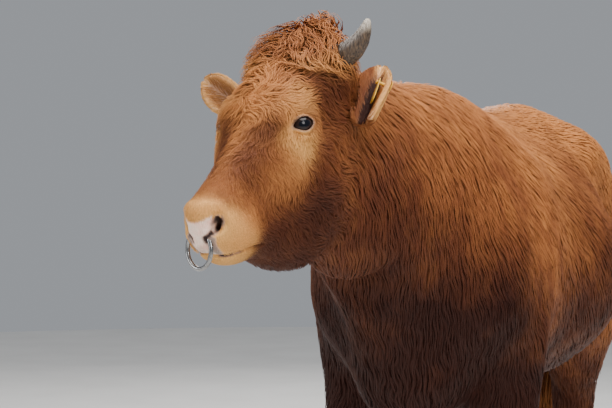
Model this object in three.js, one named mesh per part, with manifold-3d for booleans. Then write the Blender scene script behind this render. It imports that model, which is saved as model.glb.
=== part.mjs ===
// A young red-brown bull at life size, standing, with its head lowered a little and turned to its right.
// Millimetres. x is the animal's left, y its rear, z up. The solids reach the tips of its winter coat.
import * as THREE from "three";
import { mergeVertices } from "three/addons/utils/BufferGeometryUtils.js";
import Module from "manifold-3d";

const wasm = await Module();
wasm.setup();

// Driving dimensions of the trunk: heights above the ground and stations along y.
const WITHERS = { y: -430, z: 1268 };
const BACK = { y: -40, z: 1230 };
const CROUP = { y: 440, z: 1276 };
const TAIL_HEAD = { y: 715, z: 1222 };
const BELLY = { y: 110, z: 592, halfWidth: 338 };
const CHEST = { y: -330, z: 606, halfWidth: 250 };
const BRISKET = { y: -792, z: 588 };

// Driving dimensions of the limbs: each joint is [x, y, z, radius], for the left side.
const FORELEG = {
  elbow: [172, -478, 742, 76],
  forearm: [172, -486, 600, 57],
  knee: [168, -494, 408, 52],
  cannonTop: [167, -488, 345, 42],
  cannonEnd: [165, -484, 190, 38],
  fetlock: [164, -488, 140, 49],
  pastern: [163, -512, 78, 46],
};
const HIND_LEG = {
  stifle: [172, 452, 742, 112],
  gaskin: [152, 545, 610, 76],
  hock: [138, 640, 492, 56],
  hockBase: [135, 646, 430, 49],
  cannonEnd: [132, 622, 190, 39],
  fetlock: [131, 616, 140, 49],
  pastern: [130, 590, 78, 46],
};
const LEFT_HIND_STEP = -70; // the left hind foot stands further forward than the right one

// Driving dimensions of the head, in its own frame: x to its left, y from the poll to the muzzle, z deep.
const HEAD = {
  poll: [-103, -1076, 1345],
  turn: 14,
  pitch: 42,
  length: 454,
  jawDepth: 259,
};
const EYE = { side: 78, along: 186, deep: 48, radius: 19 };
const HORN = { side: 58, along: 20, deep: 38, baseRadius: 29, tipRadius: 6 };
const HORN_SWEEP = {
  left: { out: 84, rise: 70, back: 0 },
  right: { out: 54, rise: -16, back: 38 }, // a scur, low in the hair
};
const EAR = { length: 128, sunk: 8, halfWidth: 44, rootWidth: 28, thickness: 10 };
const EAR_POSE = {
  left: { root: [116, 76, 138], axis: [-0.02, -0.98, -0.2], open: [0.25, 0, -1] },
  right: { root: [-122, 61, 121], axis: [-0.95, -0.42, -0.35], open: [0, 0.5, -0.6] },
};
const NOSE_RING = { radius: 31, wire: 3.9, side: -7, along: 436, deep: 60, twist: 16 };
const NOSTRIL = { side: 31, along: 441, deep: 44, reach: [15, 22, 11] };
const TAG = { width: 26, height: 44, thickness: 2.2, standOff: 15 };
const TAG_PIN = { stud: 3, button: 12, station: 0.6, angle: 1.1 };

// Driving dimensions of the feet and the tail.
const CLAW = { height: 70, length: 118, heel: 46, halfWidth: 29, cleft: 3.5, toeLean: 34 };
const DEWCLAW = { radius: 15, length: 34, side: 27, behind: 40, height: 128 };
const TAIL = { rootRadius: 38, tipRadius: 17, tipHeight: 640, switchRadius: 52, switchEnd: 330 };

const GAP = 0.3; // clearance wherever two pieces touch
const LIFT_MARGIN = 0.15; // more than the difference between two facetings of one surface
const SLIVER = 0.05;
const SPAN = 4000; // longer than the whole animal, for half spaces

const COAT_RED = "#8a4420";
const coatMaterial = (color) => new THREE.MeshStandardMaterial({ color, roughness: 0.9, metalness: 0 });
const MATERIALS = {
  coat: coatMaterial(COAT_RED),
  head: coatMaterial("#9a5428"),
  neck: coatMaterial("#84401e"),
  ear: coatMaterial("#9c5a34"),
  tail: coatMaterial("#6e3418"),
  horn: new THREE.MeshStandardMaterial({ color: "#8d8274", roughness: 0.45, metalness: 0 }),
  claw: new THREE.MeshStandardMaterial({ color: "#2e2622", roughness: 0.55, metalness: 0 }),
  eye: new THREE.MeshStandardMaterial({ color: "#120c0a", roughness: 0.08, metalness: 0 }),
  ring: new THREE.MeshStandardMaterial({ color: "#b9bbbd", roughness: 0.25, metalness: 1 }),
  tag: new THREE.MeshStandardMaterial({ color: "#e3c51c", roughness: 0.5, metalness: 0 }),
};

// ---- Masses: functions of a point that are negative inside, about a distance in mm ----

// An ellipsoid, tipped by `tip` degrees about the x axis.
function egg([cx, cy, cz], [rx, ry, rz], tip = 0) {
  const c = Math.cos(THREE.MathUtils.degToRad(tip));
  const s = Math.sin(THREE.MathUtils.degToRad(tip));
  return (x, y, z) => {
    const dx = x - cx;
    const dy = c * (y - cy) + s * (z - cz);
    const dz = c * (z - cz) - s * (y - cy);
    const near = Math.hypot(dx / rx, dy / ry, dz / rz);
    const slope = Math.hypot(dx / rx ** 2, dy / ry ** 2, dz / rz ** 2);
    return slope < 1e-9 ? -Math.min(rx, ry, rz) : (near * (near - 1)) / slope;
  };
}

// A rod with a ball at each end, of radius a[3] at a and b[3] at b.
function limb(a, b) {
  const d = [b[0] - a[0], b[1] - a[1], b[2] - a[2]];
  const long = d[0] ** 2 + d[1] ** 2 + d[2] ** 2;
  return (x, y, z) => {
    const along = ((x - a[0]) * d[0] + (y - a[1]) * d[1] + (z - a[2]) * d[2]) / long;
    const t = Math.min(1, Math.max(0, along));
    const reach = Math.hypot(x - a[0] - t * d[0], y - a[1] - t * d[1], z - a[2] - t * d[2]);
    return reach - (a[3] + t * (b[3] - a[3]));
  };
}

// Masses melted together over a distance k.
function melt(k, ...masses) {
  return (x, y, z) => {
    let out = masses[0](x, y, z);
    for (let i = 1; i < masses.length; i += 1) {
      const next = masses[i](x, y, z);
      const h = Math.max(k - Math.abs(out - next), 0) / k;
      out = Math.min(out, next) - (h * h * k) / 4;
    }
    return out;
  };
}

// A mass with a softly edged hollow.
function hollow(k, mass, cut) {
  return (x, y, z) => {
    const a = mass(x, y, z);
    const b = -cut(x, y, z);
    const h = Math.max(k - Math.abs(a - b), 0) / k;
    return Math.max(a, b) + (h * h * k) / 4;
  };
}

const sides = [1, -1];
const bothSides = (make) => sides.map((side) => make(side));
const mirrored = ([x, y, z, r], side, shift = 0) => [side * x, y + shift, z, r];

// ---- The body's forms ----

function trunkMasses() {
  const ribs = egg([0, -100, 918], [CHEST.halfWidth + 8, 560, 312]);
  const belly = egg([0, BELLY.y, 868], [BELLY.halfWidth, 420, 868 - BELLY.z], -4);
  const chest = egg([0, CHEST.y, 880], [CHEST.halfWidth - 20, 300, 880 - CHEST.z]);
  const withers = egg([0, WITHERS.y, WITHERS.z - 150], [104, 300, 150], 3);
  const loin = egg([0, 270, 1060], [230, 330, 182], 3);
  const croup = egg([0, CROUP.y + 40, CROUP.z - 204], [206, 300, 198], -7);
  const spine = limb([0, BACK.y - 240, BACK.z - 66, 62], [0, CROUP.y - 40, CROUP.z - 70, 66]);
  const tailRoot = limb([0, TAIL_HEAD.y - 160, TAIL_HEAD.z - 30, 66], [0, TAIL_HEAD.y, TAIL_HEAD.z - 22, 42]);
  const brisket = egg([0, BRISKET.y + 186, BRISKET.z + 122], [128, 186, 122]);
  const dewlap = limb([0, BRISKET.y + 70, BRISKET.z + 84, 50], [-4, BRISKET.y + 4, BRISKET.z + 214, 34]);
  const paired = bothSides((side) => [
    limb([side * 80, -392, 1116, 78], [side * 116, -560, 900, 86]),
    limb([side * 114, -560, 900, 86], [side * 108, -640, 838, 76]),
    limb([side * 118, -600, 850, 82], [side * 148, -470, 760, 84]),
    limb([side * 104, -300, 1070, 76], [side * 144, -430, 880, 84]),
    limb([side * 172, 400, 1148, 62], [side * 148, 520, 1118, 88]),
    limb([side * 92, 716, 1120, 66], [side * 112, 640, 1040, 92]),
    egg([side * 150, 575, 900], [112, 196, 262], -8),
    egg([side * 160, 470, 800], [96, 130, 170], 10),
  ]).flat();
  return [ribs, belly, chest, withers, loin, croup, spine, tailRoot, brisket, dewlap, ...paired];
}

function sheathMasses() {
  const sheath = limb([0, 210, 604, 44], [0, -30, 590, 30]);
  const purse = limb([0, 436, 690, 46], [0, 428, 588, 58]);
  return [sheath, purse];
}

function neckMasses() {
  const root = egg([0, -620, 1016], [176, 210, 250], 10);
  const middle = egg([-36, -806, 1064], [146, 220, 206], -8);
  const nape = egg([-92, -960, 1132], [92, 170, 160], -14);
  const crest = limb([0, -470, 1176, 80], [-94, -1000, 1238, 52]);
  const throat = limb([-38, -966, 1026, 60], [0, -812, 900, 72]);
  const fold = limb([-40, -978, 974, 28], [-4, BRISKET.y, BRISKET.z + 218, 34]);
  return [root, middle, nape, crest, throat, fold];
}

function legMasses(leg, side, shift) {
  const joints = Object.values(leg);
  const feet = joints.length - 1;
  return joints.slice(1).map((joint, i) => {
    const step = (k) => (shift * Math.max(0, k)) / feet;
    return limb(mirrored(joints[i], side, step(i)), mirrored(joint, side, step(i + 1)));
  });
}

function hockPoint(side, shift) {
  const reach = (shift * 3) / 6;
  return limb([side * 140, 690 + reach, 560, 20], [side * 137, 700 + reach, 500, 24]);
}

// In the head's own frame.
function headForm() {
  const long = HEAD.length;
  const deep = HEAD.jawDepth;
  const skull = melt(
    40,
    egg([0, 104, 90], [86, 150, 108]),
    egg([6, 10, 58], [70, 66, 70]),
    egg([22, -30, 34], [52, 46, 48]),
    limb([0, 160, 64, 54], [0, long - 58, 44, 31]),
    limb([0, 224, 116, 60], [0, long - 66, 92, 48]),
    ...bothSides((side) => egg([side * 50, 212, 160], [46, 112, 92], 12)),
    ...bothSides((side) => limb([side * 34, 200, deep - 76, 46], [side * 24, 272, deep - 26, 48])),
    ...bothSides((side) => limb([side * 24, 272, deep - 26, 48], [side * 16, long - 84, 134, 32])),
    ...bothSides((side) => limb([side * 59, 178, 52, 27], [side * 46, 232, 74, 33])),
    ...bothSides((side) => limb([side * 64, 20, 44, 34], [side * 62, 70, 96, 30])),
  );
  const muzzle = melt(
    18,
    egg([2, long - 44, 76], [44, 50, 56]),
    egg([2, long - 24, 52], [39, 25, 38]),
    ...bothSides((side) => egg([side * 28, long - 62, 100], [30, 54, 34])),
  );
  const chin = egg([0, long - 62, 124], [38, 50, 36]);
  const forelock = melt(40, egg([8, 50, 30], [70, 84, 38]), egg([6, 140, 32], [61, 78, 38]));
  const mouthCut = limb([0, long - 6, 116, 5], [0, long - 100, 150, 5]);
  return hollow(12, melt(24, melt(34, skull, forelock), muzzle, chin), mouthCut);
}

// The head's frame: x to its left, y along the face, z deep.
function headFrame() {
  const turn = THREE.MathUtils.degToRad(HEAD.turn);
  const pitch = THREE.MathUtils.degToRad(HEAD.pitch);
  const forward = new THREE.Vector3(-Math.sin(turn), -Math.cos(turn), 0);
  const left = new THREE.Vector3(Math.cos(turn), -Math.sin(turn), 0);
  const along = forward.clone().multiplyScalar(Math.cos(pitch));
  along.z -= Math.sin(pitch);
  const deep = new THREE.Vector3().crossVectors(left, along);
  return new THREE.Matrix4().makeBasis(left, along, deep).setPosition(...HEAD.poll);
}

const HEAD_FRAME = headFrame();
const TO_HEAD = HEAD_FRAME.clone().invert().elements;

function apply(m, x, y, z) {
  return [
    m[0] * x + m[4] * y + m[8] * z + m[12],
    m[1] * x + m[5] * y + m[9] * z + m[13],
    m[2] * x + m[6] * y + m[10] * z + m[14],
  ];
}

function wholeBody() {
  const trunk = melt(90, ...trunkMasses());
  const neck = melt(90, ...neckMasses());
  const legs = melt(
    24,
    ...sides.map((side) => melt(34, ...legMasses(FORELEG, side, 0))),
    ...sides.map((side) => {
      const shift = side > 0 ? LEFT_HIND_STEP : 0;
      return melt(34, ...legMasses(HIND_LEG, side, shift), hockPoint(side, shift));
    }),
  );
  const head = headForm();
  const headHere = (x, y, z) => head(...apply(TO_HEAD, x, y, z));
  return melt(60, melt(50, melt(110, trunk, neck), legs, ...sheathMasses()), headHere);
}

const body = wholeBody();

// ---- Surfaces ----

// The corners of a grid cell, and the pairs of them that its edges join.
const CORNERS = [0, 1, 2, 3, 4, 5, 6, 7].map((c) => [c & 1, (c >> 1) & 1, c >> 2]);
const EDGES = [
  [0, 1], [2, 3], [4, 5], [6, 7], [0, 2], [1, 3], [4, 6], [5, 7], [0, 4], [1, 5], [2, 6], [3, 7],
];

// One vertex for each cell of a grid that the surface of a mass crosses, then moved onto that surface.
function surface(mass, low, high, cell) {
  const count = low.map((v, i) => Math.ceil((high[i] - v) / cell[i]) + 1);
  const [nx, ny, nz] = count;
  const at = (i, j, k) => i + nx * (j + ny * k);
  const value = new Float64Array(nx * ny * nz);
  for (let k = 0; k < nz; k += 1)
    for (let j = 0; j < ny; j += 1)
      for (let i = 0; i < nx; i += 1) {
        const rim = i === 0 || j === 0 || k === 0 || i === nx - 1 || j === ny - 1 || k === nz - 1;
        const v = mass(low[0] + i * cell[0], low[1] + j * cell[1], low[2] + k * cell[2]);
        value[at(i, j, k)] = rim ? Math.max(v, 1) : v;
      }
  const vertexOf = new Int32Array(nx * ny * nz).fill(-1);
  const points = [];
  for (let k = 0; k < nz - 1; k += 1)
    for (let j = 0; j < ny - 1; j += 1)
      for (let i = 0; i < nx - 1; i += 1) {
        const corner = CORNERS.map(([di, dj, dk]) => value[at(i + di, j + dj, k + dk)]);
        const sum = [0, 0, 0];
        let crossings = 0;
        for (const [a, b] of EDGES) {
          if (corner[a] < 0 === corner[b] < 0) continue;
          const t = corner[a] / (corner[a] - corner[b]);
          for (let axis = 0; axis < 3; axis += 1)
            sum[axis] += ((a >> axis) & 1) + t * (((b >> axis) & 1) - ((a >> axis) & 1));
          crossings += 1;
        }
        if (!crossings) continue;
        vertexOf[at(i, j, k)] = points.length;
        const place = [i, j, k].map((n, axis) => low[axis] + (n + sum[axis] / crossings) * cell[axis]);
        points.push(ontoSurface(mass, place, cell));
      }
  return quadsToGeometry(points, quads(value, vertexOf, count, at));
}

// Newton steps along the slope of the mass, kept within half a cell.
function ontoSurface(mass, start, cell) {
  const h = 0.5;
  let p = start;
  for (let step = 0; step < 4; step += 1) {
    const v = mass(...p);
    const slope = [0, 1, 2].map((axis) => {
      const q = [...p];
      q[axis] += h;
      return (mass(...q) - v) / h;
    });
    const steep = slope[0] ** 2 + slope[1] ** 2 + slope[2] ** 2;
    if (steep < 0.05) return p;
    p = p.map((c, axis) => {
      const moved = c - (v * slope[axis]) / steep;
      return Math.min(start[axis] + cell[axis] / 2, Math.max(start[axis] - cell[axis] / 2, moved));
    });
  }
  return p;
}

function quads(value, vertexOf, [nx, ny, nz], at) {
  const stride = [1, nx, nx * ny];
  const out = [];
  for (let k = 0; k < nz - 1; k += 1)
    for (let j = 0; j < ny - 1; j += 1)
      for (let i = 0; i < nx - 1; i += 1)
        for (let axis = 0; axis < 3; axis += 1) {
          const here = at(i, j, k);
          const inside = value[here] < 0;
          if (inside === value[here + stride[axis]] < 0) continue;
          const u = stride[(axis + 1) % 3];
          const w = stride[(axis + 2) % 3];
          const ring = [here - u - w, here - w, here, here - u].map((n) => vertexOf[n]);
          out.push(inside ? ring : ring.reverse());
        }
  return out;
}

function quadsToGeometry(points, faces) {
  const flat = (a, b) => Math.hypot(...points[a].map((c, i) => c - points[b][i]));
  const index = faces.flatMap(([a, b, c, d]) =>
    flat(a, c) < flat(b, d) ? [a, b, c, a, c, d] : [a, b, d, b, c, d],
  );
  const geometry = new THREE.BufferGeometry();
  geometry.setAttribute("position", new THREE.BufferAttribute(new Float32Array(points.flat()), 3));
  return geometry.setIndex(index);
}

// ---- Solids, for cutting and joining ----

function solid(geometry) {
  const bare = geometry.clone();
  bare.deleteAttribute("normal");
  bare.deleteAttribute("uv");
  const merged = mergeVertices(bare, 1e-3);
  return new wasm.Manifold(
    new wasm.Mesh({
      numProp: 3,
      vertProperties: new Float32Array(merged.attributes.position.array),
      triVerts: new Uint32Array(merged.index.array),
    }),
  );
}

function geometryOf(made) {
  const { numProp, numVert, vertProperties, triVerts } = made.getMesh();
  const positions = new Float32Array(numVert * 3);
  for (let i = 0; i < numVert; i += 1)
    positions.set(vertProperties.subarray(i * numProp, i * numProp + 3), i * 3);
  const geometry = new THREE.BufferGeometry();
  geometry.setAttribute("position", new THREE.BufferAttribute(positions, 3));
  geometry.setIndex(new THREE.BufferAttribute(triVerts, 1));
  geometry.computeVertexNormals();
  return geometry;
}

// The largest body left by a cut, without the slivers that the cut leaves along its edges.
function largest(made) {
  return made
    .decompose()
    .reduce((a, b) => (b.volume() > a.volume() ? b : a))
    .simplify(SLIVER);
}

// Everything on the far side of a plane through `point`, where `normal` points, moved by `lift`.
function halfSpace(point, normal, lift = 0) {
  const n = new THREE.Vector3(...normal).normalize();
  const box = new THREE.BoxGeometry(SPAN, SPAN, SPAN);
  box.applyQuaternion(new THREE.Quaternion().setFromUnitVectors(new THREE.Vector3(0, 0, 1), n));
  const centre = n.clone().multiplyScalar(SPAN / 2 + lift).add(new THREE.Vector3(...point));
  return solid(box.translate(...centre));
}

// The room of one leg: an upright block under a plane that leans up outwards, grown by `lift` on every side.
function legBlock({ x, y, z, width, depth, lean }, side, lift = 0) {
  const height = 2 * z;
  const box = new THREE.BoxGeometry(width + 2 * lift, depth + 2 * lift, height + 2 * lift);
  const tilt = THREE.MathUtils.degToRad(lean);
  const under = halfSpace([side * x, y, z], [side * Math.sin(tilt), 0, -Math.cos(tilt)], -lift);
  return solid(box.translate(side * x, y, z - height / 4)).intersect(under);
}

const FORELEG_BLOCK = { x: 206, y: -486, z: 716, width: 240, depth: 320, lean: 16 };
const HIND_LEG_BLOCK = { x: 190, y: 610, z: 772, width: 330, depth: 470, lean: 24 };

const NECK_PLANE = { point: [0, -655, 1030], normal: [0, -0.9, 0.42] };
const NAPE_PLANE = { point: [0, -62, 0], normal: [0, -0.89, 0.46] }; // in the head's frame

function inWorld({ point, normal }) {
  const p = new THREE.Vector3(...point).applyMatrix4(HEAD_FRAME);
  const n = new THREE.Vector3(...normal).transformDirection(HEAD_FRAME);
  return { point: p.toArray(), normal: n.toArray() };
}

function flipped([x, y, z]) {
  return [-x, -y, -z];
}

// ---- Flesh nodes ----

const TRUNK_BOX = { low: [-420, -960, 480], high: [420, 880, 1380], cell: [80, 84, 78] };

const NECK_BOX = { low: [-330, -1290, 560], high: [330, -400, 1420], cell: [64, 66, 64] };

function trunkShell(lift = 0) {
  return solid(surface((x, y, z) => body(x, y, z) - lift, TRUNK_BOX.low, TRUNK_BOX.high, TRUNK_BOX.cell));
}

function trunkSolid() {
  let made = trunkShell().intersect(halfSpace(NECK_PLANE.point, flipped(NECK_PLANE.normal), GAP / 2));
  for (const side of sides) {
    made = made.subtract(legBlock(FORELEG_BLOCK, side, GAP));
    made = made.subtract(legBlock(HIND_LEG_BLOCK, side, GAP));
  }
  return largest(made);
}

function neckShell(lift = 0) {
  return solid(surface((x, y, z) => body(x, y, z) - lift, NECK_BOX.low, NECK_BOX.high, NECK_BOX.cell));
}

function neckSolid() {
  const nape = inWorld(NAPE_PLANE);
  return largest(
    neckShell()
      .intersect(halfSpace(NECK_PLANE.point, NECK_PLANE.normal, GAP / 2))
      .intersect(halfSpace(nape.point, nape.normal, GAP / 2)),
  );
}

function legShell(block, side, cell, lift = 0) {
  const low = [side > 0 ? 20 : -400, block.y - 300, -60];
  const high = [side > 0 ? 400 : -20, block.y + 300, 980];
  return solid(surface((x, y, z) => body(x, y, z) - lift, low, high, cell));
}

function legSolid(block, side, cell) {
  return largest(
    legShell(block, side, cell)
      .intersect(legBlock(block, side))
      .intersect(halfSpace([0, 0, CLAW.height + GAP], [0, 0, 1])),
  );
}

const headLocal = (x, y, z) => body(...apply(HEAD_FRAME.elements, x, y, z));
const HEAD_BOX = { low: [-190, -110, -70], high: [190, HEAD.length + 40, 380], cell: [28, 30, 28] };

function headShell(lift = 0) {
  const mass = (x, y, z) => headLocal(x, y, z) - lift;
  return solid(surface(mass, HEAD_BOX.low, HEAD_BOX.high, HEAD_BOX.cell));
}

function eyeBall(side, lift = 0) {
  const ball = new THREE.SphereGeometry(EYE.radius + lift, 12, 8);
  return ball.translate(side * EYE.side, EYE.along, EYE.deep);
}

// An oval pit that opens forwards beside the septum.
function nostrilGeometry(side) {
  const pit = new THREE.SphereGeometry(1, 12, 8).scale(...NOSTRIL.reach);
  pit.rotateY(-side * 0.35);
  pit.rotateZ(side * 0.3);
  return pit.translate(side * NOSTRIL.side, NOSTRIL.along, NOSTRIL.deep);
}

// The ring crosses the septum from one nostril to the other and hangs straight down in front of the lips.
function ringGeometry(lift = 0) {
  const ring = new THREE.TorusGeometry(NOSE_RING.radius, NOSE_RING.wire + lift, 7, 24);
  ring.translate(0, NOSE_RING.radius, 0);
  ring.rotateY(THREE.MathUtils.degToRad(NOSE_RING.twist));
  ring.rotateX(THREE.MathUtils.degToRad(90 - HEAD.pitch));
  return ring.translate(NOSE_RING.side, NOSE_RING.along, NOSE_RING.deep);
}

function headSolid() {
  let made = headShell().subtract(halfSpace(NAPE_PLANE.point, NAPE_PLANE.normal, -GAP / 2));
  for (const side of sides) {
    made = made.subtract(solid(eyeBall(side, GAP)));
    made = made.subtract(solid(nostrilGeometry(side)));
  }
  return largest(made.subtract(solid(ringGeometry(2 * GAP))));
}

// ---- Pieces that grow from the flesh ----

// A closed tube through a list of rings of points, all rings with the same number of points.
function loft(rings) {
  const n = rings[0].length;
  const last = rings.length - 1;
  const centre = (ring) => [0, 1, 2].map((axis) => ring.reduce((sum, p) => sum + p[axis], 0) / n);
  const points = [...rings.flat(), centre(rings[0]), centre(rings[last])];
  const index = [];
  for (let r = 0; r < last; r += 1)
    for (let i = 0; i < n; i += 1) {
      const j = (i + 1) % n;
      const [a, b, c, d] = [r * n + i, r * n + j, (r + 1) * n + j, (r + 1) * n + i];
      index.push(a, b, c, a, c, d);
    }
  for (let i = 0; i < n; i += 1) {
    const j = (i + 1) % n;
    index.push(points.length - 2, j, i, points.length - 1, last * n + i, last * n + j);
  }
  const geometry = new THREE.BufferGeometry();
  geometry.setAttribute("position", new THREE.BufferAttribute(new Float32Array(points.flat()), 3));
  return geometry.setIndex(facesOut(points, index) ? index : index.reverse());
}

// True where the faces of a closed surface point out, from the sign of its volume.
function facesOut(points, index) {
  let volume = 0;
  for (let i = 0; i < index.length; i += 3) {
    const [a, b, c] = [points[index[i]], points[index[i + 1]], points[index[i + 2]]];
    volume += a[0] * (b[1] * c[2] - b[2] * c[1]);
    volume -= a[1] * (b[0] * c[2] - b[2] * c[0]);
    volume += a[2] * (b[0] * c[1] - b[1] * c[0]);
  }
  return volume > 0;
}

// Round rings of radius(t) along a curve.
function taperedRod(curve, radius, rings, around) {
  const frames = curve.computeFrenetFrames(rings, false);
  const made = [];
  for (let r = 0; r <= rings; r += 1) {
    const t = r / rings;
    const centre = curve.getPointAt(t);
    const ring = [];
    for (let i = 0; i < around; i += 1) {
      const angle = (2 * Math.PI * i) / around;
      const p = centre
        .clone()
        .addScaledVector(frames.normals[r], radius(t) * Math.cos(angle))
        .addScaledVector(frames.binormals[r], radius(t) * Math.sin(angle));
      ring.push(p.toArray());
    }
    made.push(ring);
  }
  return loft(made);
}

const vec = (x, y, z) => new THREE.Vector3(x, y, z);

// A short horn that leaves the side of the poll and sweeps up.
function hornGeometry(side) {
  const { out, rise, back } = side > 0 ? HORN_SWEEP.left : HORN_SWEEP.right;
  const pitch = THREE.MathUtils.degToRad(HEAD.pitch);
  const up = vec(0, -Math.sin(pitch), -Math.cos(pitch));
  const root = vec(side * HORN.side, HORN.along, HORN.deep);
  const bend = root.clone().add(vec(side * out * 0.9, 2, back / 2 - 6));
  const tip = root.clone().add(vec(side * out, 0, back)).addScaledVector(up, rise);
  const curve = new THREE.QuadraticBezierCurve3(root, bend, tip);
  const radius = (t) => HORN.tipRadius + (HORN.baseRadius - HORN.tipRadius) * (1 - t ** 1.7);
  return taperedRod(curve, radius, 6, 8);
}

// The ear's axis, the way its scoop opens, the way across it, and its root.
function earFrame(side) {
  const pose = side > 0 ? EAR_POSE.left : EAR_POSE.right;
  const axis = vec(...pose.axis).normalize();
  const open = vec(...pose.open);
  open.addScaledVector(axis, -open.dot(axis)).normalize();
  const across = vec().crossVectors(axis, open);
  const root = vec(...pose.root).addScaledVector(axis, -EAR.sunk);
  return { axis, open, across, root };
}

// The scoop's roll radius, its half angle and half its wall, a share s of the way to the tip.
function earSection(s) {
  const swell = Math.sin(Math.PI * Math.min(1, 0.1 + 0.9 * s) ** 0.86) ** 0.62;
  const narrow = EAR.rootWidth * (1 - s);
  const width = Math.max(6, narrow + (EAR.halfWidth - narrow) * swell);
  const bend = THREE.MathUtils.lerp(1.95, 1.15, Math.min(1, s * 1.3));
  const half = (EAR.thickness / 2) * THREE.MathUtils.lerp(1.25, 0.75, s);
  return { roll: width / bend, bend, half };
}

function earPoint({ axis, open, across, root }, s, angle, shift) {
  const { roll } = earSection(s);
  return root
    .clone()
    .addScaledVector(axis, s * (EAR.length + EAR.sunk))
    .addScaledVector(across, (roll + shift) * Math.sin(angle))
    .addScaledVector(open, roll - (roll + shift) * Math.cos(angle));
}

// A leaf rolled into a scoop: nearly a tube at the root, open and rounded at the tip.
function earGeometry(side) {
  const frame = earFrame(side);
  const steps = 8;
  const strips = 6;
  const rings = [];
  for (let r = 0; r <= steps; r += 1) {
    const s = r / steps;
    const { roll, bend, half } = earSection(s);
    const angles = Array.from({ length: strips + 1 }, (_, i) => ((2 * i) / strips - 1) * bend);
    const wall = (shift) => angles.map((angle) => earPoint(frame, s, angle, shift).toArray());
    rings.push([...wall(half), ...wall(-Math.min(half, roll * 0.6)).reverse()]);
  }
  return loft(rings);
}

// Where the tag is pinned: on the middle of the scoop's wall, with z pointing out of its back.
function tagPlace() {
  const frame = earFrame(1);
  const { axis, open, across } = frame;
  const { station, angle } = TAG_PIN;
  const out = across.clone().multiplyScalar(Math.sin(angle)).addScaledVector(open, -Math.cos(angle));
  const flat = Math.cos(earSection(station).bend / 6); // between two creases the wall is flat
  const point = earPoint(frame, station, angle, earSection(station).roll * (flat - 1));
  return new THREE.Matrix4().makeBasis(vec().crossVectors(axis, out), axis, out).setPosition(point);
}

// A pin through the ear with a round button behind it, along z of the tag's place.
function studGeometry(lift = 0) {
  const inner = -TAG.standOff - TAG.thickness - 4;
  const outer = EAR.thickness / 2 + 1;
  const profile = [
    [0, inner],
    [TAG_PIN.stud + 2 + lift, inner],
    [TAG_PIN.stud + lift, inner + 3],
    [TAG_PIN.stud + lift, outer - lift],
    [TAG_PIN.button + lift, outer - lift],
    [TAG_PIN.button - 2 + lift, outer + 2 + lift],
    [0, outer + 2 + lift],
  ].map(([radius, height]) => new THREE.Vector2(radius, height));
  return new THREE.LatheGeometry(profile, 12).rotateX(Math.PI / 2).applyMatrix4(tagPlace());
}

// A bare tag panel inside the scoop, rounded at its corners and narrowed to a neck around the pin.
function panelGeometry() {
  const half = TAG.width / 2;
  const corner = 7;
  const neck = 9;
  const shape = new THREE.Shape();
  shape.absarc(0, 0, neck, 0, Math.PI, false);
  shape.lineTo(-half, -neck - 4);
  shape.absarc(-half + corner, -TAG.height + corner, corner, Math.PI, 1.5 * Math.PI, false);
  shape.absarc(half - corner, -TAG.height + corner, corner, 1.5 * Math.PI, 2 * Math.PI, false);
  shape.lineTo(half, -neck - 4);
  const pinHole = new THREE.Path();
  pinHole.absarc(0, 0, TAG_PIN.stud + 3 * GAP, 0, 2 * Math.PI, true);
  shape.holes.push(pinHole);
  const settings = { depth: TAG.thickness, bevelEnabled: false, curveSegments: 4 };
  const panel = new THREE.ExtrudeGeometry(shape, settings);
  panel.translate(0, 0, -TAG.standOff - TAG.thickness);
  return panel.applyMatrix4(tagPlace());
}

// One claw: a flat sole, a straight inner wall, a rounded outer wall and a sloping toe.
function clawGeometry(x, y, side, toeOut) {
  const levels = [0, 0.12, 0.45, 1];
  const around = 8;
  const rings = levels.map((level) => {
    const long = CLAW.length * (1 - 0.27 * level) * (level === 0 ? 0.97 : 1);
    const wide = CLAW.halfWidth * 2 * (1 - 0.13 * level) - CLAW.cleft;
    const back = y + CLAW.heel - 6 * level;
    return Array.from({ length: around }, (_, i) => {
      const angle = (2 * Math.PI * i) / around;
      const along = Math.sin(angle);
      const outward = Math.cos(angle);
      const width = outward > 0 ? wide * Math.abs(outward) ** 0.8 : 0;
      const toe = along > 0 ? long * 0.62 * along : long * 0.38 * along;
      const narrow = 1 - 0.28 * Math.max(0, along) ** 2;
      return [
        x + side * (CLAW.cleft + width * narrow),
        back - long * 0.38 - toe + CLAW.toeLean * level * Math.max(0, along),
        level * CLAW.height,
      ];
    });
  });
  return turnedAbout(loft(rings), x, y + CLAW.heel, side * toeOut);
}

function turnedAbout(geometry, x, y, degrees) {
  geometry.translate(-x, -y, 0);
  geometry.rotateZ(THREE.MathUtils.degToRad(degrees));
  return geometry.translate(x, y, 0);
}

function dewclawGeometry([x, y], side) {
  const claw = new THREE.SphereGeometry(1, 6, 5).scale(DEWCLAW.radius, DEWCLAW.radius, DEWCLAW.length / 2);
  claw.rotateX(0.5);
  return claw.translate(x + side * DEWCLAW.side, y + DEWCLAW.behind, DEWCLAW.height);
}

function tailCurve() {
  return new THREE.CatmullRomCurve3([
    vec(0, TAIL_HEAD.y - 30, TAIL_HEAD.z - 20),
    vec(0, TAIL_HEAD.y + 52, TAIL_HEAD.z - 50),
    vec(6, TAIL_HEAD.y + 92, TAIL_HEAD.z - 190),
    vec(14, TAIL_HEAD.y + 96, TAIL.tipHeight + 180),
    vec(18, TAIL_HEAD.y + 88, TAIL.tipHeight),
  ]);
}

function tailGeometry() {
  const radius = (t) => THREE.MathUtils.lerp(TAIL.rootRadius, TAIL.tipRadius, Math.min(1, t * 1.5));
  return taperedRod(tailCurve(), radius, 10, 8);
}

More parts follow.
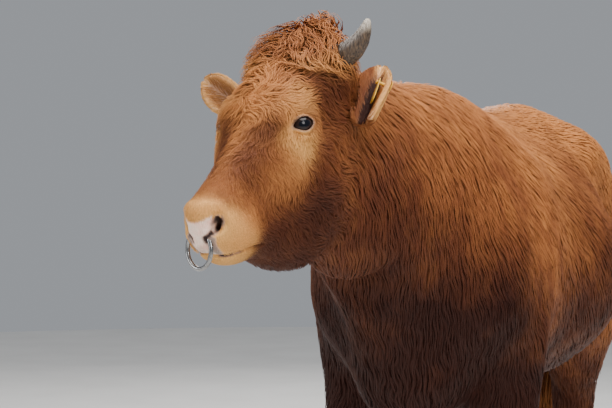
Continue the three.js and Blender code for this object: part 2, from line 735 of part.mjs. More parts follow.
function switchGeometry() {
  const top = tailCurve().getPointAt(1);
  const down = tailCurve().getTangentAt(1);
  const curve = new THREE.CatmullRomCurve3([
    top.clone().addScaledVector(down, 3 * GAP),
    top.clone().addScaledVector(down, 60),
    vec(top.x + 2, top.y - 6, (TAIL.tipHeight + TAIL.switchEnd) / 2),
    vec(top.x + 6, top.y - 4, TAIL.switchEnd),
  ]);
  const swell = (t) => (TAIL.switchRadius - TAIL.tipRadius) * Math.sin(Math.PI * t ** 0.8) ** 0.9;
  const radius = (t) => TAIL.tipRadius + swell(t) - 12 * t;
  return taperedRod(curve, radius, 7, 8);
}

// ---- The animal ----

function node(name, material, made) {
  const geometry = made.isBufferGeometry ? made : geometryOf(made);
  if (made.isBufferGeometry) geometry.computeVertexNormals();
  const mesh = new THREE.Mesh(geometry, material);
  mesh.name = name;
  return mesh;
}

function headGroup() {
  const group = new THREE.Group();
  const neckHere = neckShell(GAP + LIFT_MARGIN).transform(TO_HEAD);
  const lifted = headShell(GAP + LIFT_MARGIN).add(neckHere);
  group.add(node("head", MATERIALS.head, headSolid()));
  group.add(node("nose_ring", MATERIALS.ring, ringGeometry()));
  for (const side of sides) {
    const mark = side > 0 ? "left" : "right";
    let ear = solid(earGeometry(side)).subtract(lifted);
    if (side > 0) ear = ear.subtract(solid(studGeometry(GAP)));
    group.add(node(`ear_${mark}`, MATERIALS.ear, largest(ear)));
    group.add(node(`horn_${mark}`, MATERIALS.horn, largest(solid(hornGeometry(side)).subtract(lifted))));
    group.add(node(`eye_${mark}`, MATERIALS.eye, eyeBall(side)));
  }
  group.add(node("ear_tag_panel", MATERIALS.tag, solid(panelGeometry())));
  group.add(node("ear_tag_stud", MATERIALS.tag, solid(studGeometry())));
  group.applyMatrix4(HEAD_FRAME);
  return group;
}

function addLeg(group, kind, side) {
  const fore = kind === "fore";
  const mark = side > 0 ? "left" : "right";
  const shift = !fore && side > 0 ? LEFT_HIND_STEP : 0;
  const joints = fore ? FORELEG : HIND_LEG;
  const block = fore ? FORELEG_BLOCK : HIND_LEG_BLOCK;
  const [x, y] = mirrored(joints.pastern, side, shift);
  const fetlock = mirrored(joints.fetlock, side, (shift * 5) / 6);
  const cell = fore ? [38, 39, 70] : [41, 44, 66];
  group.add(node(`${kind}leg_${mark}`, MATERIALS.coat, legSolid(block, side, cell)));
  const lifted = legShell(block, side, cell, GAP + LIFT_MARGIN);
  for (const half of sides) {
    const place = half === side ? "outer" : "inner";
    group.add(node(`claw_${kind}_${mark}_${place}`, MATERIALS.claw, solid(clawGeometry(x, y, half, 5))));
    const dewclaw = largest(solid(dewclawGeometry(fetlock, half)).subtract(lifted));
    group.add(node(`dewclaw_${kind}_${mark}_${place}`, MATERIALS.claw, dewclaw));
  }
}

function bull() {
  const group = new THREE.Group();
  group.add(node("trunk", MATERIALS.coat, trunkSolid()));
  group.add(node("neck", MATERIALS.neck, neckSolid()));
  group.add(headGroup());
  for (const side of sides) {
    addLeg(group, "fore", side);
    addLeg(group, "hind", side);
  }
  const tail = solid(tailGeometry()).subtract(trunkShell(GAP + LIFT_MARGIN));
  group.add(node("tail", MATERIALS.tail, largest(tail)));
  group.add(node("tail_switch", MATERIALS.tail, solid(switchGeometry())));
  return group;
}

// The origin lies on the ground under the middle of the whole animal.
const animal = bull();
animal.updateMatrixWorld(true);
const extent = new THREE.Box3().setFromObject(animal, true);
animal.position.set(-(extent.min.x + extent.max.x) / 2, -(extent.min.y + extent.max.y) / 2, -extent.min.z);
const museumBull = new THREE.Group();
museumBull.add(animal);

export default museumBull;
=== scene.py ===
import math

import bmesh
import bpy
import numpy as np
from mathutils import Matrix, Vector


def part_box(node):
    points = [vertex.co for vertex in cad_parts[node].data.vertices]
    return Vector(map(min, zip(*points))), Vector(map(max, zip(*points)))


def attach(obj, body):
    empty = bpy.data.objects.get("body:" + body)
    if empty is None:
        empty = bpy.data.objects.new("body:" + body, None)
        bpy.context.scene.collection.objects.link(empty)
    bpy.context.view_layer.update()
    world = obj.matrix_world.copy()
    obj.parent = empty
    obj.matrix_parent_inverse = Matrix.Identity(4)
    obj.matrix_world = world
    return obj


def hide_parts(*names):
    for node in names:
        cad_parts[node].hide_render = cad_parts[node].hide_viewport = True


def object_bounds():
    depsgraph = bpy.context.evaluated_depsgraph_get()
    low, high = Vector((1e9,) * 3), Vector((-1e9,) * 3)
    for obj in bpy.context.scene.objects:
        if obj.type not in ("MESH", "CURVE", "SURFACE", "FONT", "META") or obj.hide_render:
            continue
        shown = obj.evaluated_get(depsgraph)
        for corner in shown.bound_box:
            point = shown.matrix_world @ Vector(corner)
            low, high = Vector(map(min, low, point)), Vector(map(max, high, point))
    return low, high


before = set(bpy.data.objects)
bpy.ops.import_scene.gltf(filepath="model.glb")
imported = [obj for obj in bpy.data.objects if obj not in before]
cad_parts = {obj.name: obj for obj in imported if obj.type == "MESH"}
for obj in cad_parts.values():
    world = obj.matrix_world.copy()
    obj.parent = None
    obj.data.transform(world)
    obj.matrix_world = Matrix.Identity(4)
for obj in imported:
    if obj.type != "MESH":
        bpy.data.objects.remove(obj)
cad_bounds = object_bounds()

import openvdb
from mathutils import Matrix, Vector
from mathutils.kdtree import KDTree

# ---------------------------------------------------------------- landmarks

FLESH = ("head", "neck", "trunk", "tail", "foreleg_left", "foreleg_right", "hindleg_left", "hindleg_right")
SIDES = {"left": 1, "right": -1}

HEAD_TURN = math.radians(14)
HEAD_PITCH = math.radians(42)
EYE_ALONG, EYE_DEEP = 0.186, 0.048  # the eyes' place in the head's frame, which starts at the poll
EYE_RADIUS, EYE_SUNK = 0.0205, 0.0035


def centre_of(node):
    """The middle of a node's box in the frame."""
    low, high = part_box(node)
    return np.array((low + high) / 2)


def unit(v):
    """Vectors along the last axis, brought to length 1."""
    return v / np.maximum(np.linalg.norm(v, axis=-1, keepdims=True), 1e-9)


def head_axes():
    """Rows: to the head's left, along the face from poll to muzzle, and deep into the head."""
    forward = np.array([-math.sin(HEAD_TURN), -math.cos(HEAD_TURN), 0])
    left = np.array([math.cos(HEAD_TURN), -math.sin(HEAD_TURN), 0])
    along = forward * math.cos(HEAD_PITCH) + np.array([0, 0, -math.sin(HEAD_PITCH)])
    return np.array([left, along, np.cross(left, along)])


HEAD = head_axes()
BROW = (centre_of("eye_left") + centre_of("eye_right")) / 2
POLL = BROW - EYE_ALONG * HEAD[1] - EYE_DEEP * HEAD[2]
EYE_SIDE = np.linalg.norm(centre_of("eye_left") - centre_of("eye_right")) / 2


def to_head(points):
    """Places in the head's frame."""
    return (points - POLL) @ HEAD.T


def from_head(points):
    """Places in the part's frame, given in the head's."""
    return POLL + np.asarray(points) @ HEAD


def smooth(low, high, x):
    """0 below low, 1 above high, and an even rise between."""
    t = np.clip((x - low) / (high - low), 0, 1)
    return t * t * (3 - 2 * t)


def bell(x):
    """1 at 0, falling away on both sides."""
    return np.exp(-0.5 * x ** 2)


# Where the head ends: behind a line from the poll to the angle of the jaw, and far from the head's middle.
JAW_LINE_START, JAW_LINE_SLOPE = (-0.02, 0.06), (0.69, 0.72)  # along the face and deep
JAW_LINE_SOFT = 0.03
HEAD_MIDDLE, HEAD_REACH = (0, 0.2, 0.1), (0.36, 0.42)


def headness(points):
    """1 on the head, 0 behind the line from the poll to the angle of the jaw."""
    p = to_head(points)
    along, deep = p[:, 1] - JAW_LINE_START[0], p[:, 2] - JAW_LINE_START[1]
    ahead = JAW_LINE_SLOPE[0] * along - JAW_LINE_SLOPE[1] * deep
    near = np.linalg.norm(p - HEAD_MIDDLE, axis=1)
    return smooth(-JAW_LINE_SOFT, JAW_LINE_SOFT, ahead) * (1 - smooth(*HEAD_REACH, near))


# ---------------------------------------------------------------- fields on a grid

VOXEL = 0.006
SEAM = 0.002  # wider than the cuts between the nodes of flesh
MARGIN = 8
FLESH_BAND, WHOLE_BAND = 4, 10  # cells to each side of a node's surface, and of the whole flesh's
FINE, SOFT = 1.0, 2.6  # how far the flesh's facets are rounded where detail is kept, and elsewhere
BLUR_REACH = 2.2
GRID_LOW = 2 * (np.floor(np.array(cad_bounds[0]) / VOXEL / 2).astype(int) - MARGIN // 2)  # even, for COARSE
GRID_SHAPE = tuple(np.ceil(np.array(cad_bounds[1]) / VOXEL).astype(int) + MARGIN + 1 - GRID_LOW)


class Field:
    """Values on a regular grid, read between its points."""

    def __init__(self, values, low, cell):
        self.values, self.low, self.cell = values, np.asarray(low, float), cell

    def at(self, points):
        """The value at each point, shared out between the eight grid points round it."""
        place = (points - self.low) / self.cell
        base = np.clip(np.floor(place).astype(int), 0, np.array(self.values.shape[:3]) - 2)
        share = np.clip(place - base, 0, 1)
        total = 0
        for corner in np.ndindex(2, 2, 2):
            weight = np.prod(np.where(corner, share, 1 - share), axis=1)
            total = total + weight * self.values[tuple((base + corner).T)]
        return total

    def slope(self, points):
        """How the value changes along each axis."""
        shifts = np.eye(3) * self.cell
        rises = [self.at(points + shift) - self.at(points - shift) for shift in shifts]
        return np.stack(rises, axis=1) / (2 * self.cell)


def read(items, key, width=1, kind=np.float32):
    """One property of all of a mesh's items, a row to an item where it has a width."""
    values = np.empty(len(items) * width, kind)
    items.foreach_get(key, values)
    return values.reshape(-1, width) if width > 1 else values


def cad_mesh(node):
    """A node's points and triangles."""
    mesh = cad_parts[node].data
    mesh.calc_loop_triangles()
    triangles = read(mesh.loop_triangles, "vertices", 3, np.int32)
    return read(mesh.vertices, "co", 3), triangles.astype(np.uint32)


def level_set(points, triangles, cell, band, quads=None):
    """Distance from a closed surface, kept for a band of cells to each side of it."""
    transform = openvdb.createLinearTransform(voxelSize=cell)
    return openvdb.FloatGrid.createLevelSetFromPolygons(
        points, triangles=triangles, quads=quads, transform=transform, halfWidth=band)


def as_array(grid, low, shape):
    """A box of a grid's values, from its lowest corner."""
    values = np.empty(shape, np.float32)
    grid.copyToArray(values, ijk=tuple(int(v) for v in low))
    return values


def polygons(values, low, cell, level=0.0):
    """The surface where the values pass a level: points, triangles and quads."""
    grid = openvdb.FloatGrid(float(values.max()))
    grid.transform = openvdb.createLinearTransform(voxelSize=cell)
    grid.copyFromArray(np.ascontiguousarray(values), ijk=tuple(int(v) for v in low))
    return grid.convertToPolygons(isovalue=level)


def blurred(values, sigma):
    """Values on a grid, softened over sigma cells."""
    reach = int(math.ceil(BLUR_REACH * sigma))
    weights = bell(np.arange(-reach, reach + 1) / sigma)
    weights = (weights / weights.sum()).astype(np.float32)
    for axis in range(3):
        padded = np.pad(values, [(reach, reach) if a == axis else (0, 0) for a in range(3)], mode="edge")
        total = np.zeros_like(values)
        for shift, weight in enumerate(weights):
            window = [slice(None)] * 3
            window[axis] = slice(shift, shift + values.shape[axis])
            total += weight * padded[tuple(window)]
        values = total
    return values


def flesh_field():
    """Distance from the flesh as one closed body, negative inside, its cuts closed and its facets rounded."""
    bands = [level_set(*cad_mesh(node), VOXEL, FLESH_BAND) for node in FLESH]
    solids = [as_array(band, GRID_LOW, GRID_SHAPE) for band in bands]
    points, triangles, quads = polygons(np.minimum.reduce(solids), GRID_LOW, VOXEL, SEAM)
    whole = as_array(level_set(points, triangles, VOXEL, WHOLE_BAND, quads), GRID_LOW, GRID_SHAPE) + SEAM
    return blurred(whole, FINE), blurred(whole, SOFT)


# ---------------------------------------------------------------- the coat, by place

# Each row: a place, its reach, then the coat there: its depth, how high its locks rise, a lock's length and
# width, its curl, and the share of its own size that each lock has to itself. The head's rows are in the
# head's frame and the body's in the part's, both for the left side and mirrored.
HEAD_COAT = (
    ((0.00, -0.04, 0.00), 0.035, (0.014, 0.024, 0.050, 0.0025, 0.7, 0.21)),
    ((0.052, -0.030, -0.002), 0.024, (0.012, 0.044, 0.054, 0.0024, 0.5, 0.19)),
    ((0.06, 0.01, 0.03), 0.026, (0.010, 0.030, 0.048, 0.0024, 0.8, 0.20)),
    ((0.00, 0.05, -0.01), 0.035, (0.014, 0.022, 0.050, 0.0025, 1.0, 0.21)),
    ((0.05, 0.06, 0.01), 0.022, (0.013, 0.036, 0.048, 0.0027, 0.9, 0.18)),
    ((0.00, 0.12, -0.01), 0.035, (0.015, 0.018, 0.042, 0.0023, 1.0, 0.26)),
    ((0.00, 0.18, 0.00), 0.035, (0.011, 0.012, 0.030, 0.0021, 0.8, 0.30)),
    ((0.065, 0.11, 0.03), 0.022, (0.009, 0.008, 0.020, 0.0018, 0.5, 0.34)),
    ((0.075, 0.186, 0.04), 0.034, (0.003, 0.003, 0.009, 0.0011, 0.1, 0.50)),
    ((0.083, 0.225, 0.075), 0.026, (0.003, 0.003, 0.010, 0.0012, 0.1, 0.50)),
    ((0.00, 0.27, 0.00), 0.035, (0.007, 0.009, 0.024, 0.0018, 0.9, 0.40)),
    ((0.00, 0.36, 0.01), 0.040, (0.003, 0.003, 0.010, 0.0012, 0.1, 0.60)),
    ((0.05, 0.30, 0.06), 0.050, (0.005, 0.006, 0.016, 0.0015, 0.6, 0.52)),
    ((0.03, 0.42, 0.05), 0.045, (0.0012, 0.0012, 0.005, 0.0009, 0.0, 1.20)),
    ((0.02, 0.41, 0.13), 0.035, (0.0015, 0.0015, 0.006, 0.0010, 0.0, 1.10)),
    ((0.09, 0.10, 0.11), 0.060, (0.009, 0.009, 0.028, 0.0022, 0.5, 0.36)),
    ((0.116, 0.076, 0.138), 0.024, (0.002, 0.009, 0.028, 0.0022, 0.4, 0.36)),
    ((0.08, 0.24, 0.11), 0.040, (0.005, 0.005, 0.015, 0.0015, 0.4, 0.48)),
    ((0.07, 0.20, 0.20), 0.060, (0.009, 0.009, 0.026, 0.0021, 0.5, 0.42)),
    ((0.05, 0.31, 0.20), 0.045, (0.007, 0.007, 0.020, 0.0019, 0.4, 0.45)),
)
BODY_COAT = (
    ((0.04, -0.52, 1.30), 0.120, (0.011, 0.010, 0.046, 0.0027, 0.25, 0.38)),
    ((0.14, -0.52, 1.08), 0.130, (0.008, 0.006, 0.044, 0.0026, 0.18, 0.40)),
    ((0.06, -0.62, 0.84), 0.110, (0.009, 0.007, 0.042, 0.0030, 0.20, 0.43)),
    ((0.02, -0.48, 0.60), 0.100, (0.014, 0.014, 0.048, 0.0042, 0.30, 0.42)),
    ((0.25, -0.25, 1.00), 0.160, (0.007, 0.0055, 0.044, 0.0032, 0.15, 0.43)),
    ((0.12, 0.00, 1.22), 0.180, (0.007, 0.006, 0.042, 0.0040, 0.15, 0.48)),
    ((0.32, 0.30, 0.95), 0.220, (0.007, 0.006, 0.044, 0.0044, 0.15, 0.52)),
    ((0.12, 0.30, 0.60), 0.150, (0.013, 0.013, 0.048, 0.0052, 0.20, 0.58)),
    ((0.12, 0.70, 1.22), 0.200, (0.008, 0.008, 0.036, 0.0044, 0.15, 0.52)),
    ((0.25, 0.85, 0.95), 0.180, (0.008, 0.008, 0.040, 0.0048, 0.12, 0.55)),
    ((0.19, -0.30, 0.45), 0.100, (0.009, 0.009, 0.034, 0.0044, 0.3, 0.56)),
    ((0.19, -0.25, 0.20), 0.100, (0.004, 0.004, 0.018, 0.0034, 0.0, 0.95)),
    ((0.17, 0.82, 0.50), 0.100, (0.007, 0.007, 0.028, 0.0044, 0.1, 0.70)),
    ((0.17, 0.82, 0.20), 0.100, (0.004, 0.004, 0.018, 0.0034, 0.0, 0.95)),
    ((0.19, -0.28, 0.07), 0.045, (0.000, 0.003, 0.016, 0.0034, 0.0, 0.70)),
    ((0.17, 0.78, 0.07), 0.045, (0.000, 0.003, 0.016, 0.0034, 0.0, 0.70)),
    ((0.00, 1.08, 0.85), 0.080, (0.006, 0.007, 0.034, 0.0044, 0.2, 0.55)),
)

# Each row: a place, its reach, and the way the hair lies there.
HEAD_LIE = (
    ((0.00, -0.04, 0.00), 0.035, (0.35, -0.35, -0.60)),
    ((0.05, -0.03, 0.00), 0.022, (0.15, -0.40, -1.00)),
    ((0.00, 0.02, 0.00), 0.040, (0.90, 0.35, -0.10)),
    ((0.05, 0.03, 0.02), 0.040, (0.75, 0.50, 0.60)),
    ((0.00, 0.07, 0.00), 0.035, (0.70, 0.60, 0.10)),
    ((0.00, 0.26, 0.00), 0.060, (0.10, 1.00, 0.00)),
    ((0.00, 0.40, 0.01), 0.060, (0.15, 1.00, 0.10)),
    ((0.06, 0.30, 0.07), 0.050, (0.10, 0.70, 0.70)),
    ((0.045, 0.40, 0.085), 0.035, (0.10, -0.80, 0.45)),
    ((0.055, 0.35, 0.10), 0.030, (0.00, 0.10, 0.90)),
    ((0.085, 0.21, 0.08), 0.040, (0.10, -0.10, 1.00)),
    ((0.08, 0.14, 0.04), 0.030, (0.50, -0.30, 0.70)),
    ((0.09, 0.09, 0.12), 0.060, (0.20, -0.25, 1.00)),
    ((0.07, 0.20, 0.18), 0.060, (-0.10, -0.35, 1.00)),
    ((0.03, 0.30, 0.22), 0.060, (-0.40, -0.50, 0.70)),
    ((0.00, 0.42, 0.15), 0.050, (-0.20, -0.80, 0.50)),
)
BODY_LIE = (
    ((0.03, -0.55, 1.31), 0.100, (0.75, 0.35, -0.45)),
    ((0.14, -0.52, 1.08), 0.130, (0.05, 0.30, -0.95)),
    ((0.05, -0.62, 0.85), 0.110, (0.00, 0.20, -1.00)),
    ((0.02, -0.48, 0.62), 0.110, (0.00, 0.20, -1.00)),
    ((0.25, -0.25, 1.00), 0.160, (0.05, 0.40, -0.90)),
    ((0.05, 0.00, 1.25), 0.160, (0.55, 0.75, -0.20)),
    ((0.33, 0.30, 0.98), 0.200, (0.05, 0.50, -0.85)),
    ((0.30, 0.30, 0.72), 0.160, (-0.10, 0.50, -0.85)),
    ((0.12, 0.30, 0.58), 0.150, (-0.10, 0.95, -0.20)),
    ((0.08, 0.60, 1.24), 0.200, (0.45, 0.85, -0.10)),
    ((0.30, 0.62, 0.95), 0.130, (0.00, 0.35, -0.95)),
    ((0.24, 0.85, 0.98), 0.170, (0.10, 0.40, -0.90)),
    ((0.10, 1.03, 0.95), 0.100, (0.20, 0.10, -1.00)),
    ((0.19, -0.28, 0.35), 0.120, (0.00, 0.15, -1.00)),
    ((0.19, -0.28, 0.10), 0.080, (0.00, 0.05, -1.00)),
    ((0.17, 0.82, 0.45), 0.120, (0.00, 0.20, -1.00)),
    ((0.17, 0.80, 0.12), 0.080, (0.00, -0.05, -1.00)),
    ((0.00, 1.08, 0.85), 0.070, (0.00, 0.20, -1.00)),
)

# Each row: a place, its reach, and how far the colour goes to gold, to cream and to dark there.
HEAD_MARKS = (
    ((0.00, -0.04, 0.00), 0.040, (0.70, 0.00, 0.05)),
    ((0.00, 0.02, 0.00), 0.035, (0.45, 0.00, 0.15)),
    ((0.04, 0.03, 0.01), 0.025, (0.35, 0.00, 0.25)),
    # The fringe below the horn: gold, partly painted highlight on its lit lock tips.
    ((0.045, 0.070, 0.008), 0.016, (1.00, 0.25, 0.00)),
    ((0.068, 0.040, 0.026), 0.016, (1.00, 0.25, 0.00)),
    # The temple under the fringe: dark from painted shade.
    ((0.065, 0.105, 0.026), 0.018, (0.10, 0.00, 0.62)),
    ((0.088, 0.070, 0.055), 0.022, (0.10, 0.00, 0.62)),
    ((0.00, 0.12, 0.00), 0.035, (0.75, 0.00, 0.05)),
    ((0.00, 0.18, 0.00), 0.035, (0.95, 0.05, 0.00)),
    ((0.066, 0.155, 0.025), 0.018, (1.00, 0.35, 0.00)),
    ((0.083, 0.220, 0.066), 0.016, (1.00, 0.95, 0.00)),
    ((0.090, 0.205, 0.070), 0.012, (1.00, 0.85, 0.00)),
    ((0.070, 0.212, 0.045), 0.012, (0.90, 0.40, 0.00)),
    ((0.080, 0.245, 0.085), 0.014, (0.90, 0.20, 0.00)),
    ((0.070, 0.240, 0.060), 0.014, (0.55, 0.00, 0.15)),
    ((0.092, 0.175, 0.075), 0.018, (0.60, 0.10, 0.10)),
    ((0.034, 0.22, 0.018), 0.016, (0.10, 0.00, 0.66)),
    ((0.035, 0.26, 0.026), 0.015, (0.10, 0.00, 0.64)),
    ((0.036, 0.30, 0.035), 0.018, (0.20, 0.00, 0.52)),
    ((0.050, 0.26, 0.045), 0.016, (0.40, 0.00, 0.25)),
    ((0.00, 0.28, 0.00), 0.022, (0.80, 0.00, 0.05)),
    ((0.00, 0.36, 0.008), 0.025, (0.60, 0.00, 0.15)),
    ((0.030, 0.385, 0.025), 0.016, (0.45, 0.00, 0.25)),
    ((0.073, 0.27, 0.09), 0.024, (0.75, 0.05, 0.05)),
    ((0.09, 0.11, 0.10), 0.045, (0.20, 0.00, 0.45)),
    ((0.09, 0.17, 0.14), 0.040, (0.25, 0.00, 0.45)),
    ((0.055, 0.33, 0.09), 0.026, (0.35, 0.00, 0.40)),
    ((0.058, 0.365, 0.065), 0.016, (0.50, 0.00, 0.25)),
    ((0.020, 0.42, 0.025), 0.016, (1.00, 0.65, 0.00)),
    ((0.040, 0.415, 0.055), 0.016, (1.00, 0.75, 0.00)),
    ((0.046, 0.405, 0.085), 0.016, (0.95, 0.50, 0.00)),
    ((0.043, 0.405, 0.112), 0.016, (0.90, 0.35, 0.00)),
    ((0.052, 0.380, 0.085), 0.014, (0.75, 0.10, 0.10)),
    ((0.02, 0.43, 0.14), 0.022, (0.40, 0.80, 0.05)),
    # Under the chin and the jaw: dark from painted shade.
    ((0.02, 0.38, 0.175), 0.022, (0.15, 0.05, 0.60)),
    ((0.06, 0.25, 0.19), 0.045, (0.05, 0.00, 0.78)),
    ((0.03, 0.33, 0.19), 0.040, (0.05, 0.00, 0.80)),
)
# On the body, the gold on the nape, the top of the back and the rump and the dark on the chest, behind the
# elbow, down the sides, on the belly and the legs are partly the coat's own colour and partly painted light
# from above and painted shade underneath.
BODY_MARKS = (
    ((0.04, -0.50, 1.30), 0.110, (0.60, 0.05, 0.05)),
    ((0.14, -0.52, 1.12), 0.110, (0.32, 0.00, 0.20)),
    ((0.10, -0.66, 1.00), 0.090, (0.05, 0.00, 0.65)),
    ((0.05, -0.60, 0.80), 0.120, (0.00, 0.00, 1.00)),
    ((0.25, -0.20, 1.05), 0.150, (0.40, 0.00, 0.10)),
    ((0.20, -0.40, 0.75), 0.150, (0.00, 0.00, 1.12)),
    ((0.08, 0.10, 1.23), 0.180, (0.75, 0.05, 0.00)),
    ((0.32, 0.30, 1.04), 0.140, (0.18, 0.00, 0.42)),
    ((0.32, 0.25, 0.82), 0.140, (0.02, 0.00, 0.82)),
    ((0.15, 0.30, 0.58), 0.150, (0.00, 0.00, 0.95)),
    ((0.10, 0.75, 1.22), 0.200, (0.95, 0.02, 0.00)),
    ((0.25, 0.85, 0.98), 0.170, (0.48, 0.00, 0.13)),
    ((0.19, -0.25, 0.30), 0.160, (0.00, 0.00, 1.05)),
    ((0.17, 0.82, 0.30), 0.180, (0.05, 0.00, 0.85)),
    ((0.00, 1.09, 0.80), 0.110, (0.62, 0.00, 0.06)),
)


# Lines of the face in the head's frame, mirrored: the mouth, the nostril, the slit that it ends in, the pit
# that it leads to, the wing of the nose, the pad's edge beside the lip's groove, and that groove.
MOUTH = ((0.000, 0.455, 0.103), (0.013, 0.447, 0.106), (0.038, 0.433, 0.113), (0.047, 0.413, 0.123),
         (0.047, 0.374, 0.150))
NOSTRIL = ((0.029, 0.421, 0.043), (0.034, 0.428, 0.050), (0.031, 0.434, 0.054))
SLIT = ((0.031, 0.434, 0.054), (0.024, 0.441, 0.057), (0.014, 0.452, 0.060), (0.014, 0.452, 0.066))
PIT = ((0.031, 0.432, 0.049), (0.027, 0.410, 0.050), (0.022, 0.420, 0.066))
WING = ((0.010, 0.424, 0.014), (0.030, 0.408, 0.030), (0.044, 0.418, 0.052))
PAD_EDGE = ((0.014, 0.455, 0.064), (0.010, 0.458, 0.090))
LIP_GROOVE = ((0.000, 0.458, 0.075), (0.000, 0.455, 0.100))
SHADED_LINES = ((MOUTH, 0.0044), (PIT, 0.0100), (SLIT, 0.0060))  # painted shade along the mouth, the nostril's pit and its slit, each with its width
SHADE_FADE = (0.5, 1.3)  # where a line's painted shade starts to fade and where it ends, in widths


def blend(points, rows):
    """The rows' values at the points, each row counting by how near it is for its reach."""
    places = np.array([row[0] for row in rows])
    reaches = np.array([row[1] for row in rows])
    values = np.array([row[2] for row in rows])
    gaps = np.linalg.norm(points[:, None, :] - places, axis=2) / reaches
    closest = gaps.min(axis=1, keepdims=True)
    weights = np.exp(0.5 * (closest ** 2 - gaps ** 2))
    return (weights @ values) / weights.sum(axis=1, keepdims=True)


def mirrored(points):
    """Places on the right side, moved to the same place on the left."""
    return points * np.where(points[:, :1] < 0, (-1, 1, 1), (1, 1, 1))


def by_place(points, head_rows, body_rows):
    """Values from the head's table and the body's, each by its share."""
    share = headness(points)[:, None]
    ahead = blend(mirrored(to_head(points)), head_rows)
    behind = blend(mirrored(points), body_rows)
    return share * ahead + (1 - share) * behind


def coat_at(points):
    """Columns as in the tables: depth, rise, length, width, curl, room."""
    return by_place(points, HEAD_COAT, BODY_COAT)


def crease_shade(points):
    """Painted shade: 1 along the mouth, the nostrils' pits and their slits."""
    local = mirrored(to_head(points))
    start, end = SHADE_FADE
    dark = [1 - smooth(start * width, end * width, line_distance(local, line)) for line, width in SHADED_LINES]
    return np.maximum.reduce(dark) * headness(points)


def marks_at(points):
    """Columns as in the tables: gold, cream and dark, with painted shade along the lines of the face laid
    over them.
    """
    marks = by_place(points, HEAD_MARKS, BODY_MARKS)
    shade_in_creases = crease_shade(points)
    marks[:, 1] *= 1 - shade_in_creases
    marks[:, 2] = np.maximum(marks[:, 2], shade_in_creases)
    return marks


def line_distance(points, line):
    """Distance to a line of straight pieces."""
    best = np.full(len(points), 1e9)
    for a, b in zip(np.array(line[:-1]), np.array(line[1:])):
        share = np.clip((points - a) @ (b - a) / ((b - a) @ (b - a)), 0, 1)
        best = np.minimum(best, np.linalg.norm(points - a - share[:, None] * (b - a), axis=1))
    return best


def side_signs(points, soft):
    """Factors that turn a way on the left side to each point's own side, softly at the middle."""
    across = points[:, 0] / (np.abs(points[:, 0]) + soft)
    return np.stack([across, *np.ones((2, len(points)))], axis=1)


def along_skin(way, normals):
    """A way, turned to lie along the skin."""
    return unit(way - normals * np.sum(way * normals, axis=1, keepdims=True))


def drawn(way, away, pull, reach):
    """A way that pulls strongly near a place and fades with the distance away from it."""
    gap = np.linalg.norm(away, axis=1, keepdims=True)
    return unit(way) * pull * bell(gap / reach)


# The hair runs out from the eyes and from the whorl on the forehead.
WHORL = np.array((-0.012, 0.160, -0.006))
WHORL_SWIRL = 0.5  # how far it turns as it runs out
WHORL_PULL, WHORL_REACH = 2.2, 0.055
EYE_PULL, EYE_REACH = 2.0, 0.030
HEAD_PARTING, BODY_PARTING = 0.012, 0.020  # how softly the hair changes sides at the middle

# The hair lies in waves: each row is a way through the coat, a wave's length and where it starts.
WAVES = (((1.0, 0.3, 0.6), 0.058, 0.0), ((-0.4, 1.0, 0.5), 0.041, 1.9), ((0.2, -0.7, 1.0), 0.077, 4.1))
WAVE_TURN = 1.15


def lie_at(points, normals):
    """The way the hair lies, along the skin."""
    local = to_head(points)
    from_eye, from_whorl = mirrored(local) - EYE_CENTRE, local - WHORL
    ahead = unit(blend(mirrored(local), HEAD_LIE)) + drawn(from_eye, from_eye, EYE_PULL, EYE_REACH)
    ahead = ahead * side_signs(local, HEAD_PARTING)
    swirl = np.cross(from_whorl, (0, 0, 1)) * WHORL_SWIRL
    ahead = unit(ahead) + drawn(from_whorl + swirl, from_whorl, WHORL_PULL, WHORL_REACH)
    behind = unit(blend(mirrored(points), BODY_LIE) * side_signs(points, BODY_PARTING))
    share = headness(points)[:, None]
    way = along_skin(share * (ahead @ HEAD) + (1 - share) * behind, normals)
    turn = (WAVE_TURN * coat_at(points)[:, 4] * wave(points))[:, None]
    return way * np.cos(turn) + np.cross(normals, way) * np.sin(turn)


def wave(points):
    """A smooth wander between -1 and 1."""
    total = 0
    for way, length, start in WAVES:
        total = np.sin(points @ unit(np.array(way)) * (2 * math.pi / length) + start + total)
    return total


# ---------------------------------------------------------------- meshes

def placed(name, data):
    """An object in the scene for a mesh, a lamp or a camera."""
    made = bpy.data.objects.new(name, data)
    bpy.context.scene.collection.objects.link(made)
    return made


def mesh_object(name, points, faces):
    """An object from its points and faces."""
    mesh = bpy.data.meshes.new(name)
    mesh.from_pydata(np.asarray(points).tolist(), [], faces)
    mesh.update()
    return placed(name, mesh)


def grid_piece(name, values, low, cell, level=0.0):
    """An object from the surface in a grid of distances."""
    points, _, quads = polygons(values, low, cell, level)
    return mesh_object(name, points, quads.tolist())


def coordinates(mesh):
    """A mesh's points."""
    return read(mesh.vertices, "co", 3).astype(float)


def set_coordinates(mesh, points):
    """Moves a mesh's points."""
    mesh.vertices.foreach_set("co", np.asarray(points, np.float32).ravel())
    mesh.update()


def set_attribute(mesh, name, values):
    """Gives each of a mesh's points a number under a name."""
    layer = mesh.attributes.new(name, "FLOAT", "POINT")
    layer.data.foreach_set("value", np.asarray(values, np.float32).ravel())


def dress(piece, material, slot, *nodes):
    """Gives a finished piece its material, its place on the object and the nodes it stands for."""
    piece.data.materials.clear()
    piece.data.materials.append(material)
    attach(piece, "root")
    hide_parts(*nodes)
    return piece


# ---------------------------------------------------------------- ears

